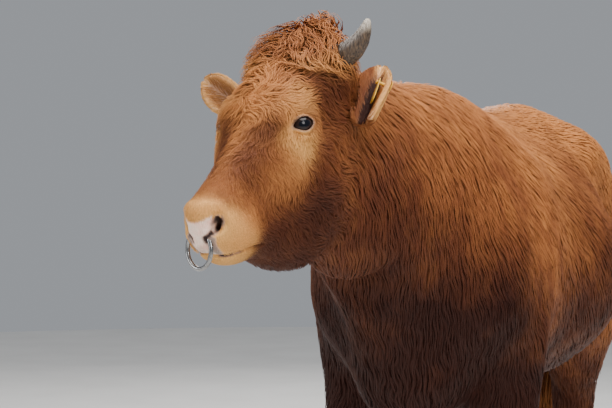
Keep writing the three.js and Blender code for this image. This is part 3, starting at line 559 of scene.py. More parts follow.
# Each ear's root, the way it points and the way its scoop opens, in the head's frame, then how far up its
# canal is painted with shade and whether its front margin shows brown.
EARS = {
    "left": ((0.116, 0.076, 0.138), (-0.02, -0.98, -0.20), (0.25, 0.00, -1.00), (0.85, 1)),
    "right": ((-0.122, 0.061, 0.121), (-0.95, -0.42, -0.35), (0.00, 0.50, -0.60), (0.40, 0)),
}
EAR_CELL, EAR_SOFTEN, EAR_MARGIN = 0.003, 0.8, 12
EAR_LENGTH, EAR_HALF_WIDTH = 0.128, 0.030
EAR_REACH, EAR_SKIN = 1.6, 0.0012  # in ear lengths from its root, and how near its surface counts as on it
EAR_OUTER_COAT = np.array((0.0, 0.003, 0.014, 0.0018, 0.2, 0.36))  # columns as in the coat's tables
EAR_INNER_COAT = np.array((0.0, 0.003, 0.016, 0.0012, 0.3, 0.70))


class Ear:
    """One ear: its distance field, and the lie of the hair on it."""

    def __init__(self, side):
        root, axis, opening = (np.array(v) for v in EARS[side][:3])
        self.canal, self.margin = EARS[side][3]
        self.root = from_head(root)
        self.axis = unit(axis @ HEAD)
        opening = opening @ HEAD
        self.open = unit(opening - self.axis * (opening @ self.axis))
        self.node = "ear_" + side
        values, self.low = rounded_values(self.node, EAR_CELL, EAR_SOFTEN, EAR_MARGIN)
        self.flesh = Field(values, self.low * EAR_CELL, EAR_CELL)

    def distance(self, points):
        """Distance from the ear's surface."""
        return self.flesh.at(points)

    def normal(self, points):
        """The way out of the ear."""
        return unit(self.flesh.slope(points))

    def holds(self, points):
        """Whether points lie on this ear's surface."""
        near = np.linalg.norm(points - self.root, axis=1) < EAR_REACH * EAR_LENGTH
        return near & (np.abs(self.distance(points)) < EAR_SKIN)

    def inside(self, normals):
        """1 in the scoop, 0 on the back of the ear."""
        return smooth(0.0, 0.5, normals @ self.open)

    def tipward(self, points):
        """0 at the root, 1 at the tip."""
        return (points - self.root) @ self.axis / EAR_LENGTH

    def across(self, points):
        """-1 at one rim of the scoop, 1 at the other."""
        return (points - self.root) @ np.cross(self.axis, self.open) / EAR_HALF_WIDTH

    def lie(self, points, normals):
        """Along the ear, and out over its rim from the scoop."""
        outwards = np.cross(self.axis, self.open) * np.sign(self.across(points))[:, None]
        way = self.axis + outwards * 0.5 + self.open * self.inside(normals)[:, None] * 0.3
        return along_skin(way, normals)

    def coat(self, normals):
        """Columns as in the coat's tables: longer and sparser in the scoop."""
        share = self.inside(normals)[:, None]
        return EAR_OUTER_COAT * (1 - share) + EAR_INNER_COAT * share

    def marks(self, points, normals):
        """Gold, cream and dark: pale in the scoop and along the rim, and painted shade in the canal and the
        scoop's fold.
        """
        share = self.inside(normals)
        across = self.across(points)
        # Painted shade in the canal and the scoop's fold.
        canal = self.dark(points) * share
        rim = smooth(0.62, 0.85, np.hypot(across, np.maximum(self.tipward(points) - 0.35, 0) * 1.5))
        brown = self.front(points) * share
        pale = np.clip(0.15 * share + 0.55 * rim, 0, 0.65) * (1 - canal) * (1 - brown)
        gold = (0.30 + 0.5 * share) * (1 - 0.7 * brown)
        return np.stack([gold, pale, 0.20 * (1 - rim) + 0.90 * canal + 0.20 * brown], axis=1)

    def front(self, points):
        """1 on the front margin, where brown hair folds over into the scoop."""
        return self.margin * (1 - smooth(-0.30, -0.12, self.across(points)))

    def dark(self, points):
        """Painted shade: 1 in the canal and in the scoop's fold."""
        fold = 1 - smooth(0.16, 0.34, np.abs(self.across(points) - 0.06))
        return fold * (1 - smooth(self.canal - 0.25, self.canal, self.tipward(points)))

    def shape(self):
        """The ear as a closed piece."""
        return grid_piece(self.node + "_skin", self.flesh.values, self.low, EAR_CELL)


# ---------------------------------------------------------------- skin

COARSE = 2  # voxels to a face on the body
LEG_DETAIL = (0.45, 0.62)  # heights: the legs keep their detail below the first, and lose it by the second
FINENESS_STEP = 4  # voxels between the places where the detail is asked for
FIRST_LEVEL = -0.010  # how deep in the flesh the skin's mesh starts, before it settles at its own depth
EYE_DETAIL, MUZZLE_DETAIL = 0.042, 0.35  # finest mesh: this near the eyes, and past this along the face


def grid_cells(shape, step=1):
    """The places of a grid's cells, every step along each axis."""
    return np.stack(np.meshgrid(*[np.arange(0, n, step) for n in shape], indexing="ij"), axis=-1)


class Skin:
    """The skin under the coat: its distance field and its mesh."""

    def __init__(self):
        fine, soft = flesh_field()
        share = self.fineness(fine.shape)
        self.flesh = Field(fine * share + soft * (1 - share), GRID_LOW * VOXEL, VOXEL)
        self.ears = [Ear(side) for side in SIDES]

    def fineness(self, shape):
        """1 where the head and the lower legs keep their detail, 0 where the body is rounded off."""
        cells = grid_cells(shape, FINENESS_STEP)
        points = (cells.reshape(-1, 3) + GRID_LOW) * VOXEL
        share = np.maximum(headness(points), 1 - smooth(*LEG_DETAIL, points[:, 2])).reshape(cells.shape[:3])
        for axis in range(3):
            share = np.repeat(share, FINENESS_STEP, axis)
        return blurred(share[:shape[0], :shape[1], :shape[2]].astype(np.float32), FINENESS_STEP / 2)

    def distance(self, points):
        """Distance from the skin, which lies under the flesh's surface by the coat's depth."""
        return self.flesh.at(points) + coat_at(points)[:, 0]

    def normal(self, points):
        """The way out of the skin."""
        return unit(self.flesh.slope(points))

    def lie(self, points, normals):
        """The way the hair lies."""
        return lie_at(points, normals)

    def settle(self, points, rounds=6):
        """Points moved along the slope on to the skin."""
        for _ in range(rounds):
            points = points - self.normal(points) * self.distance(points)[:, None]
        return points

    def shape(self):
        """The skin's mesh, finer on the head and finest round the eyes and on the muzzle."""
        values = self.flesh.values[::COARSE, ::COARSE, ::COARSE]
        piece = grid_piece("hide", values, GRID_LOW // COARSE, VOXEL * COARSE, FIRST_LEVEL)
        refine(piece, lambda p: headness(p) > 0.3, 2)
        refine(piece, in_detail, 1)
        set_coordinates(piece.data, sculpted(self, self.settle(coordinates(piece.data))))
        for ear in self.ears:
            unite(piece, ear.shape())
        return piece


def in_detail(points):
    """Round the eyes and on the muzzle."""
    local = mirrored(to_head(points))
    by_eye = np.linalg.norm(local - (EYE_SIDE, EYE_ALONG, EYE_DEEP), axis=1) < EYE_DETAIL
    return by_eye | ((local[:, 1] > MUZZLE_DETAIL) & (headness(points) > 0.5))


def refine(piece, inside, cuts):
    """Cuts the edges that lie inside a place into shorter ones."""
    mesh = bmesh.new()
    mesh.from_mesh(piece.data)
    mesh.verts.ensure_lookup_table()
    chosen = inside(np.array([v.co for v in mesh.verts]))
    edges = [e for e in mesh.edges if chosen[e.verts[0].index] and chosen[e.verts[1].index]]
    bmesh.ops.subdivide_edges(mesh, edges=edges, cuts=cuts, use_grid_fill=True)
    bmesh.ops.triangulate(mesh, faces=[f for f in mesh.faces if len(f.verts) > 4])
    mesh.to_mesh(piece.data)
    mesh.free()


def unite(piece, other):
    """Joins a closed piece to the skin without a seam."""
    modifier = piece.modifiers.new("union", "BOOLEAN")
    modifier.object = other
    modifier.operation = "UNION"
    modifier.solver = "MANIFOLD"
    mesh = bpy.data.meshes.new_from_object(piece.evaluated_get(bpy.context.evaluated_depsgraph_get()))
    piece.modifiers.remove(modifier)
    piece.data = mesh
    bpy.data.objects.remove(other)


def rounded_values(node, cell, soften, margin=6):
    """Distance from a CAD node with its facets rounded off, and the grid's first corner."""
    points, triangles = cad_mesh(node)
    low = np.floor(points.min(axis=0) / cell).astype(int) - margin
    shape = tuple(np.ceil(points.max(axis=0) / cell).astype(int) + margin + 1 - low)
    return blurred(as_array(level_set(points, triangles, cell, margin), low, shape), soften), low


def rounded(node, name, cell, soften=1.0):
    """A CAD node with its facets rounded off, as a piece."""
    values, low = rounded_values(node, cell, soften)
    piece = grid_piece(name, values, low, cell)
    piece.data.shade_smooth()
    return piece


# ---------------------------------------------------------------- the face

# Forms in the head's frame, mirrored: place, size along each axis, how far they stand out.
FACE_FORMS = (
    ((0.060, 0.166, 0.018), (0.020, 0.028, 0.020), 0.0080),  # brow
    ((0.058, 0.197, 0.023), (0.015, 0.022, 0.015), 0.0075),  # by the eye's inner corner
    ((0.070, 0.232, 0.070), (0.020, 0.020, 0.020), -0.0020),  # hollow under the eye
    ((0.068, 0.250, 0.105), (0.014, 0.045, 0.014), 0.0030),  # facial crest
    ((0.085, 0.200, 0.150), (0.030, 0.050, 0.050), 0.0040),  # cheek muscle
    ((0.045, 0.330, 0.050), (0.020, 0.040, 0.022), -0.0030),  # side of the nose
)
# Lines of the face: their points, width, how far they stand out.
FACE_LINES = (
    (MOUTH, 0.0036, -0.0075),
    (NOSTRIL, 0.0055, -0.0160),
    (SLIT, 0.0034, -0.0090),
    (WING, 0.0070, 0.0035),
    (PAD_EDGE, 0.0070, 0.0020),
    (LIP_GROOVE, 0.0024, -0.0025),
)

# The eye: the way it looks, its centre, the long way of its opening, and the way up across that.
EYE_OUT = unit(np.array((0.79, 0.33, -0.48)))
EYE_CENTRE = (EYE_SIDE, EYE_ALONG, EYE_DEEP) - EYE_OUT * EYE_SUNK
EYE_LONG = unit(np.cross(EYE_OUT, np.cross((0.52, -0.72, 0.35), EYE_OUT)))
EYE_UP = np.cross(EYE_LONG, EYE_OUT)
LID_LONG, LID_HIGH = 0.0182, 0.0116  # half the opening between the lids
LID_NARROWING = 0.28  # how much lower the opening is at its corners
LID_RIM = 0.0022
EYE_PLAN = 0.050  # how far round the eye its plan reaches
EYE_PLAN_DEPTHS = (-0.030, 0.060)
# The mesh is drawn to both sides of the opening's edge, to make it sharp: edges from, to, and where they go.
SNAPS = ((0.75, 1.00, 0.985), (1.00, 1.25, 1.02))
LID_FOLDS = ((1.35, 0.0014), (1.75, -0.0018))  # where folds ring the upper lid and how far they stand out
LID_FOLD_WIDTH = 0.14
LOWER_LID_FOLD = 0.5  # the lower lid's folds, as a share of the upper's
SOCKET_GAP = 0.005  # how deep under the globe's surface the skin lies inside the opening
LID_FADE = (0.016, 0.042)  # from the eye's middle: where the lids start to give way to the face, and end


def eye_plan(local):
    """Places in the plane that the eye looks out of: 1 is the edge of the lids. Also how far from the eye."""
    long, high, out = ((local - EYE_CENTRE) @ np.array([EYE_LONG, EYE_UP, EYE_OUT]).T).T
    narrowing = 1 - LID_NARROWING * np.clip((long / LID_LONG) ** 2, 0, 1)
    edge = np.hypot(long / LID_LONG, high / (LID_HIGH * narrowing))
    near = (np.hypot(long, high) < EYE_PLAN) & (out > EYE_PLAN_DEPTHS[0]) & (out < EYE_PLAN_DEPTHS[1])
    return np.where(near, edge, 9), long, high, out


def lidded(local):
    """Points of the left half of the head with the lids laid over the eye."""
    edge, long, high, out = eye_plan(local)
    snapped = edge.copy()
    for start, end, place in SNAPS:
        snapped[(edge >= start) & (edge < end)] = place
    turn = snapped / np.maximum(edge, 1e-6)
    long, high = long * turn, high * turn
    gap = np.hypot(long, high)
    fold = sum(amount * bell((snapped - place) / LID_FOLD_WIDTH) for place, amount in LID_FOLDS)
    radius = EYE_RADIUS + LID_RIM + np.where(high > 0, fold, LOWER_LID_FOLD * fold)
    dome = np.sqrt(np.maximum(radius ** 2 - gap ** 2, (0.5 * radius) ** 2))
    socket = np.sqrt(np.maximum(EYE_RADIUS ** 2 - gap ** 2, 0)) - SOCKET_GAP
    share = 1 - smooth(*LID_FADE, gap)
    raised = np.where(snapped < 1, socket, out * (1 - share) + np.maximum(out, dome) * share)
    spot = np.stack([long, high, raised], axis=1) @ np.array([EYE_LONG, EYE_UP, EYE_OUT])
    return np.where((edge < 9)[:, None], spot + EYE_CENTRE, local)


def sculpted(skin, points):
    """Points of the skin with the face's forms and lines and the lids worked into them."""
    on_head = headness(points) > 0.01
    here = points[on_head]
    normals = skin.normal(here)
    flip = np.where(to_head(here)[:, :1] < 0, (-1, 1, 1), (1, 1, 1))
    local = to_head(here) * flip
    out = (normals @ HEAD.T) * flip
    rise = np.zeros(len(local))
    for place, size, amount in FACE_FORMS:
        rise += amount * np.exp(-0.5 * np.sum(((local - place) / size) ** 2, axis=1))
    for line, width, amount in FACE_LINES:
        rise += amount * bell(line_distance(local, line) / width)
    local = lidded(local + out * rise[:, None])
    points = points.copy()
    points[on_head] = from_head(local * flip)
    return points


# ---------------------------------------------------------------- the coat

SEED = 20
CLUMP = 9  # locks to a clump
GATHER = 0.46  # how far a clump's tips draw together
THICK = 0.24  # a lock's thickness for its width
ROUND = 0.35  # how far its shading turns from edge to edge
PATCH = 0.003  # size of a lock's patch on the bake map
STRAND_SPREAD = 40.0  # how far apart the locks lie on the map of strands
BOW, BOW_TURNS = 0.11, 5.2  # how far a curled lock bows out of line for its length, and how it winds
GATHER_RISE = 1.3  # how late along a lock its clump draws it in
MARKS = ("gold", "cream", "dark")

# Where each coat piece has its middle: in the head's frame, and in the part's.
HEAD_REGIONS = {
    "crown": ((0, 0.02, 0.0),), "forehead": ((0, 0.13, 0.0),), "bridge": ((0, 0.28, 0.0),),
    "muzzle": ((0, 0.42, 0.06),), "cheeks": ((0.09, 0.2, 0.12), (-0.09, 0.2, 0.12)),
    "jaw": ((0, 0.28, 0.22),), "temples": ((0.1, 0.07, 0.1), (-0.1, 0.07, 0.1)),
}
BODY_REGIONS = {
    "nape": ((0, -0.48, 1.32),), "neck_left": ((0.17, -0.50, 1.0),), "neck_right": ((-0.17, -0.50, 1.0),),
    "brisket": ((0, -0.50, 0.62),), "withers": ((0, -0.10, 1.27),), "loin": ((0, 0.45, 1.26),),
    "shoulder_left": ((0.28, -0.20, 0.90),), "shoulder_right": ((-0.28, -0.20, 0.90),),
    "barrel_left": ((0.33, 0.30, 0.90),), "barrel_right": ((-0.33, 0.30, 0.90),),
    "belly": ((0, 0.30, 0.55),), "rump": ((0, 0.90, 1.26),),
    "thigh_left": ((0.26, 0.85, 0.90),), "thigh_right": ((-0.26, 0.85, 0.90),),
    "forelegs": ((0.2, -0.28, 0.35), (-0.2, -0.28, 0.35), (0.2, -0.28, 0.1), (-0.2, -0.28, 0.1)),
    "hindlegs": ((0.17, 0.82, 0.40), (-0.17, 0.82, 0.40), (0.17, 0.8, 0.1), (-0.17, 0.8, 0.1)),
    "tail": ((0, 1.09, 1.0), (0, 1.09, 0.75)),
}
# Stations along a lock and how high it rides at each, as a share of the coat's depth.
STATIONS = {
    "long": ((0.0, 0.20, 0.45, 0.72, 1.0), (0.0, 0.55, 0.85, 1.0, 0.95), (0.55, 1.0, 0.85, 0.50)),
    "short": ((0.0, 0.35, 0.70, 1.0), (0.0, 0.60, 0.90, 1.0), (0.60, 1.0, 0.60)),
}
NECK_REGIONS = ("nape", "neck_left", "neck_right", "brisket")
LONG_REGIONS = ("crown", "forehead", "temples", "cheeks", "jaw", *NECK_REGIONS)


def hide_triangles(mesh):
    """For each triangle of the hide: its corners' places, their places on the unwrap, and how bare it is."""
    mesh.calc_loop_triangles()
    corners = read(mesh.loop_triangles, "vertices", 3, np.int32)
    loops = read(mesh.loop_triangles, "loops", 3, np.int32)
    flat = read(mesh.uv_layers["Unwrap"].data, "uv", 2)
    bare = read(mesh.attributes["hairless"].data, "value")
    return coordinates(mesh)[corners], flat[loops], bare[corners].max(axis=1)


def scattered(expected, rng):
    """Random places on triangles, by how many each is to have: the triangle, and its corners' shares."""
    marks = np.arange(int(expected.sum())) + rng.random()
    faces = np.searchsorted(np.cumsum(expected), marks)
    share = rng.random((len(faces), 2))
    share = np.where(share.sum(axis=1, keepdims=True) > 1, 1 - share, share)
    return faces, np.column_stack([1 - share.sum(axis=1), share])


class Roots:
    """Places on the hide where locks grow: their coat, their markings and where they lie on the unwrap."""

    def __init__(self, skin, hide, rng):
        spots, flat, bare = hide_triangles(hide.data)
        middles = spots.mean(axis=1)
        normals = np.cross(spots[:, 1] - spots[:, 0], spots[:, 2] - spots[:, 0]) / 2
        coat = coat_at(middles)
        for ear in skin.ears:
            on_ear = ear.holds(middles)
            coat[on_ear] = ear.coat(unit(normals[on_ear]))
        hairy = 1 - smooth(0.1, 0.5, bare)
        length, width, room = coat[:, 2], coat[:, 3], coat[:, 5]
        faces, share = scattered(np.linalg.norm(normals, axis=1) * hairy / (length * width * room), rng)
        self.points = np.einsum("nk,nkd->nd", share, spots[faces])
        self.unwrap = np.einsum("nk,nkd->nd", share, flat[faces])
        self.coat = coat[faces]
        self.marks = marks_at(self.points)
        self.regions = region_names(self.points)
        for ear in skin.ears:
            on_ear = ear.holds(self.points)
            self.regions[on_ear] = ear.node
            self.marks[on_ear] = ear.marks(self.points[on_ear], unit(normals[faces][on_ear]))

    def columns(self, chosen, tone):
        """What the chosen locks' meshes carry, a row to a lock."""
        return {"unwrap": self.unwrap[chosen], "tone": tone, **dict(zip(MARKS, self.marks[chosen].T))}


def region_names(points):
    """The name of the coat piece that each root belongs to."""
    on_head = headness(points) > 0.5
    names = np.empty(len(points), object)
    for chosen, table, place in ((on_head, HEAD_REGIONS, to_head(points)), (~on_head, BODY_REGIONS, points)):
        labels = [name for name, middles in table.items() for _ in middles]
        middles = np.array([m for row in table.values() for m in row])
        gaps = np.linalg.norm(place[chosen][:, None, :] - middles, axis=2)
        names[chosen] = np.array(labels, object)[gaps.argmin(axis=1)]
    return names


def nearest(places, points):
    """For each point, which of the places is nearest."""
    tree = KDTree(len(places))
    for i, place in enumerate(places):
        tree.insert(place, i)
    tree.balance()
    return np.array([tree.find(p)[1] for p in points])


def lock_paths(surface, roots, coat, stations, rises, bow, lift):
    """Stations of each lock, riding over the surface along the lie of its hair, and the way out at each."""
    ground = surface.distance(roots)
    place, paths, ways = roots, [], []
    last = 0.0
    for station, rise in zip(stations, rises):
        normals = surface.normal(place)
        lie = surface.lie(place, normals)
        place = place + lie * ((station - last) * coat[:, 2])[:, None]
        last = station
        place = place - surface.normal(place) * (surface.distance(place) - ground - rise * lift)[:, None]
        sway = bow * coat[:, 4] * coat[:, 2] * math.sin(station * BOW_TURNS) * BOW
        paths.append(place + np.cross(normals, lie) * sway[:, None])
        ways.append(normals)
    return np.array(paths), np.array(ways)


def lock_faces(rings):
    """A lock's faces, by its points, and which of them are on its underside."""
    tip = rings * 3
    faces, lower = [(0, 1, 2)], [True]
    for low in range(0, tip - 3, 3):
        high = low + 3
        for a in range(3):
            b = (a + 1) % 3
            faces += [(low + a, high + b, low + b), (low + a, high + a, high + b)]
            lower += [a == 2] * 2
    faces += [(tip - 3 + a, tip, tip - 3 + (a + 1) % 3) for a in range(3)]
    lower += [False, False, True]
    return np.array(faces), lower


def lock_maps(rings, columns):
    """Where the locks' points lie on their two maps: on the hide's unwrap, and on a strip to each lock."""
    across = np.tile([0.0, 0.5, 1.0], rings).tolist() + [0.5]
    along = np.repeat(np.linspace(0, 1, rings + 1)[:-1], 3).tolist() + [1.0]
    grid = np.stack([across, along], axis=1)
    bake = columns["unwrap"][:, None] + (grid - 0.5) * PATCH
    strand = grid[None] + columns["tone"][:, None, None] * (STRAND_SPREAD, 0.0)
    return ("OFBake", bake), ("Strand", strand)


def with_tips(rings, tips):
    """Each lock's rings of three, from the root, then its tip."""
    return np.concatenate([rings.transpose(1, 0, 2, 3).reshape(len(tips), -1, 3), tips[:, None]], axis=1)


def lock_mesh(name, paths, ways, widths, taper, columns):
    """One mesh of closed three-sided locks; columns are per-lock values for its attributes and maps."""
    lie = np.gradient(paths, axis=0)
    side = unit(np.cross(ways, lie))
    out = unit(np.cross(lie, side))[:-1]
    body, side, skin_out = paths[:-1], side[:-1], ways[:-1]
    size = np.array(taper)[:, None, None] * widths[None, :, None]
    rings = np.stack([body - side * size * 0.5, body + out * size * THICK, body + side * size * 0.5], axis=2)
    points = with_tips(rings, paths[-1])
    normals = np.stack([skin_out - side * ROUND, skin_out, skin_out + side * ROUND], axis=2)
    normals = unit(with_tips(normals, ways[-1])).reshape(-1, 3)
    count, per_lock = points.shape[:2]
    faces, lower = lock_faces(len(body))
    faces = faces[None] + (np.arange(count) * per_lock)[:, None, None]
    piece = triangle_piece(name, points.reshape(-1, 3), faces.reshape(-1, 3))
    corners = faces.ravel()
    for label, values in lock_maps(len(body), columns):
        layer = piece.data.uv_layers.new(name=label)
        layer.data.foreach_set("uv", values.reshape(-1, 2)[corners].astype(np.float32).ravel())
    for label in (*MARKS, "tone"):
        set_attribute(piece.data, label, np.repeat(columns[label], per_lock))
    shading = normals[corners]
    shading[np.repeat(np.tile(lower, count), 3)] *= -1
    piece.data.normals_split_custom_set(shading.tolist())
    return piece


def triangle_piece(name, points, faces):
    """An object of many triangles."""
    mesh = bpy.data.meshes.new(name)
    mesh.vertices.add(len(points))
    mesh.vertices.foreach_set("co", points.astype(np.float32).ravel())
    mesh.loops.add(faces.size)
    mesh.loops.foreach_set("vertex_index", faces.astype(np.int32).ravel())
    mesh.polygons.add(len(faces))
    mesh.polygons.foreach_set("loop_start", np.arange(0, faces.size, 3, dtype=np.int32))
    mesh.update(calc_edges=True)
    mesh.shade_smooth()
    return placed(name, mesh)


def slot_of(region):
    """The material slot's name for a region's coat."""
    if region in HEAD_REGIONS:
        return "head_coat"
    if region.startswith("ear"):
        return "ear"
    if region == "tail":
        return "tail_coat"
    return "neck_coat" if region in NECK_REGIONS else "coat"


def clump_leaders(points, regions, rng):
    """For each lock, the one that leads its clump, in the same region."""
    leaders = np.flatnonzero(rng.random(len(points)) < 1 / CLUMP)
    leader = leaders[nearest(points[leaders], points)]
    stray = regions[leader] != regions
    leader[stray] = np.flatnonzero(stray)
    return leader


def gathering(stations, curl):
    """How far each lock draws to its clump's leader at each station: curled hair gathers more."""
    share = np.clip(0.15 + 0.85 * curl, 0, 1)
    return np.outer(np.array(stations) ** GATHER_RISE, GATHER * share)[:, :, None]


def make_coat(skin, hide, look):
    """Locks all over the hide, gathered in clumps, one piece to a region."""
    rng = np.random.default_rng(SEED)
    grown = Roots(skin, hide, rng)
    points, coat, count = grown.points, grown.coat, len(grown.points)
    leader = clump_leaders(points, grown.regions, rng)
    bow, tone = rng.choice((-1, 1), count) * rng.uniform(0.6, 1.2, count), rng.random(count)
    lift = coat[:, 1] * rng.uniform(0.40, 1.0, count) * (0.75 + 0.25 * rng.random(count)[leader])
    size = rng.uniform(0.75, 1.2, count)
    tone = 0.65 * tone[leader] + 0.35 * tone
    for region in sorted(set(grown.regions)):
        own = grown.regions == region
        lead = leader[own]
        surface = next((ear for ear in skin.ears if ear.node == region), skin)
        stations, rises, taper = STATIONS["long" if region in LONG_REGIONS else "short"]
        paths, ways = lock_paths(surface, points[own], coat[own], stations, rises, bow[lead], lift[own])
        guide, _ = lock_paths(surface, points[lead], coat[lead], stations, rises, bow[lead], lift[own])
        gather = gathering(stations, coat[lead, 4])
        paths = paths * (1 - gather) + guide * gather
        widths = coat[own, 3] * size[own]
        piece = lock_mesh("coat_" + region, paths, ways, widths, taper, grown.columns(own, tone[own]))
        dress(piece, look, slot_of(region))
    make_switch(grown, rng, look)


SWITCH_LOCKS = 1400
SWITCH_TOP = 0.16  # how far up the tail its long hair starts
SWITCH_LOW, SWITCH_FEET = 0.005, 0.55  # where its tips begin above the lower end, and how far up they reach
SWITCH_WIDTHS = (0.003, 0.006)


def make_switch(grown, rng, look):
    """The long hair at the end of the tail, hanging inside the shape of its CAD node."""
    low, high = (np.array(v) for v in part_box("tail_switch"))
    near = np.flatnonzero((grown.regions == "tail") & (grown.points[:, 2] < high[2] + SWITCH_TOP))
    chosen = rng.choice(near, SWITCH_LOCKS)
    roots = grown.points[chosen]
    middle, half = (low + high) / 2, (high - low) / 2
    stations, _, taper = STATIONS["long"]
    ends = rng.random(SWITCH_LOCKS) ** 1.6
    spread = np.sqrt(rng.random(SWITCH_LOCKS)) * 0.85
    turn = rng.uniform(0, 2 * math.pi, SWITCH_LOCKS)
    foot = np.stack([
        middle[0] + half[0] * spread * np.cos(turn) * 0.5,
        middle[1] + half[1] * spread * np.sin(turn) * 0.5,
        low[2] + SWITCH_LOW + (high[2] - low[2]) * SWITCH_FEET * ends], axis=1)
    bulge = np.stack([np.cos(turn) * half[0], np.sin(turn) * half[1], np.zeros(SWITCH_LOCKS)], axis=1)
    swell = [(spread * 0.8 * math.sin(math.pi * station) ** 0.8)[:, None] for station in stations]
    paths = [roots + (foot - roots) * station + bulge * out for station, out in zip(stations, swell)]
    ways = np.repeat(unit(bulge + (0, 0, 0.003))[None], len(stations), axis=0)
    columns = grown.columns(chosen, rng.random(SWITCH_LOCKS))
    widths = rng.uniform(*SWITCH_WIDTHS, SWITCH_LOCKS)
    piece = lock_mesh("coat_switch", np.array(paths), ways, widths, taper, columns)
    dress(piece, look, "tail_coat", "tail_switch")


def unwrapped(piece):
    """Gives the hide a map of its own surface."""
    piece.data.uv_layers.new(name="Unwrap")
    bpy.ops.object.select_all(action="DESELECT")
    piece.select_set(True)
    bpy.context.view_layer.objects.active = piece
    bpy.ops.object.mode_set(mode="EDIT")
    bpy.ops.mesh.select_all(action="SELECT")
    bpy.ops.uv.smart_project(angle_limit=math.radians(70), island_margin=0.001)
    bpy.ops.object.mode_set(mode="OBJECT")


# ---------------------------------------------------------------- materials

def fit(tree, node, sockets):
    """Gives a node's sockets a value, or links them to another node's output."""
    for key, value in sockets.items():
        if isinstance(value, bpy.types.NodeSocket):
            tree.links.new(value, node.inputs[key])
        else:
            node.inputs[key].default_value = value


def add(tree, kind, sockets=None, **settings):
    """A node with its settings and its sockets."""
    node = tree.nodes.new(kind)
    for name, value in settings.items():
        setattr(node, name, value)
    fit(tree, node, sockets or {})
    return node


def maths(tree, operation, a, b=0.0, clamp=False):
    """Two numbers brought together."""
    return add(tree, "ShaderNodeMath", {0: a, 1: b}, operation=operation, use_clamp=clamp).outputs[0]


def mixed(tree, share, a, b, mode="MIX"):
    """Two colours mixed."""
    node = add(tree, "ShaderNodeMix", {0: share, 6: a, 7: b}, data_type="RGBA", blend_type=mode)
    return node.outputs[2]


def ranged(tree, value, low, high, to_low=0.0, to_high=1.0):
    """A number moved from one range to another."""
    sockets = {0: value, 1: low, 2: high, 3: to_low, 4: to_high}
    return add(tree, "ShaderNodeMapRange", sockets).outputs[0]


def noise(tree, place, scale, detail=2.0):
    """Soft random patches."""
    return add(tree, "ShaderNodeTexNoise", {"Vector": place, "Scale": scale, "Detail": detail}).outputs[0]


def stretched(tree, place, scale):
    """Places scaled along each axis."""
    return add(tree, "ShaderNodeMapping", {0: place, 3: scale}).outputs[0]


def axis_of(tree, place, axis):
    """A place along one axis."""
    return add(tree, "ShaderNodeSeparateXYZ", {0: place}).outputs[axis]


def bumped(tree, height, strength, distance, **more):
    """A surface's normal, tilted by a pattern of heights."""
    sockets = {"Height": height, "Strength": strength, "Distance": distance, **more}
    return add(tree, "ShaderNodeBump", sockets).outputs[0]


def node_group(name, inputs, outputs, build):
    """A shader node group: inputs and outputs are (name, socket kind, default) rows."""
    tree = bpy.data.node_groups.new(name, "ShaderNodeTree")
    for label, kind, default in inputs:
        socket = tree.interface.new_socket(label, in_out="INPUT", socket_type="NodeSocket" + kind)
        if default is not None:
            socket.default_value = default
    for label, kind in outputs:
        tree.interface.new_socket(label, in_out="OUTPUT", socket_type="NodeSocket" + kind)
    results = build(tree, add(tree, "NodeGroupInput").outputs)
    end = add(tree, "NodeGroupOutput")
    for label, value in results.items():
        tree.links.new(value, end.inputs[label])
    return tree


RED = (0.268, 0.074, 0.026, 1)
DARK_RED = (0.032, 0.006, 0.002, 1)
GOLD = (0.600, 0.225, 0.062, 1)
CREAM = (1.000, 0.545, 0.165, 1)
BARE_PINK = (1.000, 0.600, 0.470, 1)
PALE_PINK = (1.000, 0.820, 0.680, 1)
DARK_SKIN_AND_SHADE = (0.022, 0.006, 0.004, 1)


def build_coat_colour(tree, given):
    """The markings, with soft mottling, painted shade at the roots and a painted highlight towards the tips.
    """
    drift = ranged(tree, noise(tree, given["Place"], 9.0, 3.0), 0.3, 0.7, -0.13, 0.13)
    gold = maths(tree, "ADD", given["Gold"], maths(tree, "ADD", drift, given["Tone"]), clamp=True)
    colour = mixed(tree, gold, RED, GOLD)
    colour = mixed(tree, given["Cream"], colour, CREAM)
    dark = maths(tree, "SUBTRACT", given["Dark"], drift, clamp=True)
    colour = mixed(tree, dark, colour, DARK_RED)
    # Painted shade and highlight: darker at the roots, where the locks shade each other, lighter towards the
    # tips.
    shade = ranged(tree, given["Tip"], 0.0, 1.0, 0.75, 1.08)
    shade = add(tree, "ShaderNodeCombineColor", {0: shade, 1: shade, 2: shade}).outputs[0]
    return {"Color": mixed(tree, 1.0, colour, shade, "MULTIPLY")}


def build_strands(tree, given):
    """Fine strands: a pattern much longer along them than across."""
    place = stretched(tree, given["Place"], given["Stretch"])
    height = ranged(tree, noise(tree, place, 1.0), 0.30, 0.70)
    return {"Height": height, "Normal": bumped(tree, height, given["Strength"], 0.0012)}


COLOUR_INPUTS = (
    ("Place", "Vector", None), ("Gold", "Float", 0.0), ("Cream", "Float", 0.0), ("Dark", "Float", 0.0),
    ("Tone", "Float", 0.0), ("Tip", "Float", 0.5),
)
STRAND_INPUTS = (("Place", "Vector", None), ("Stretch", "Vector", (1, 1, 1)), ("Strength", "Float", 0.5))


def coat_groups():
    """The groups that the hide and the locks share: the coat's colour, and its strands."""
    colour = node_group("Coat Colour", COLOUR_INPUTS, (("Color", "Color"),), build_coat_colour)
    strands = node_group("Strands", STRAND_INPUTS, (("Height", "Float"), ("Normal", "Vector")), build_strands)
    return colour, strands


def material(name, build):
    """A material whose one shader is fitted out by a build function."""
    made = bpy.data.materials.new(name)
    made.use_nodes = True
    tree = made.node_tree
    tree.nodes.clear()
    shader = add(tree, "ShaderNodeBsdfPrincipled")
    build(tree, shader)
    tree.links.new(shader.outputs[0], add(tree, "ShaderNodeOutputMaterial").inputs[0])
    return made


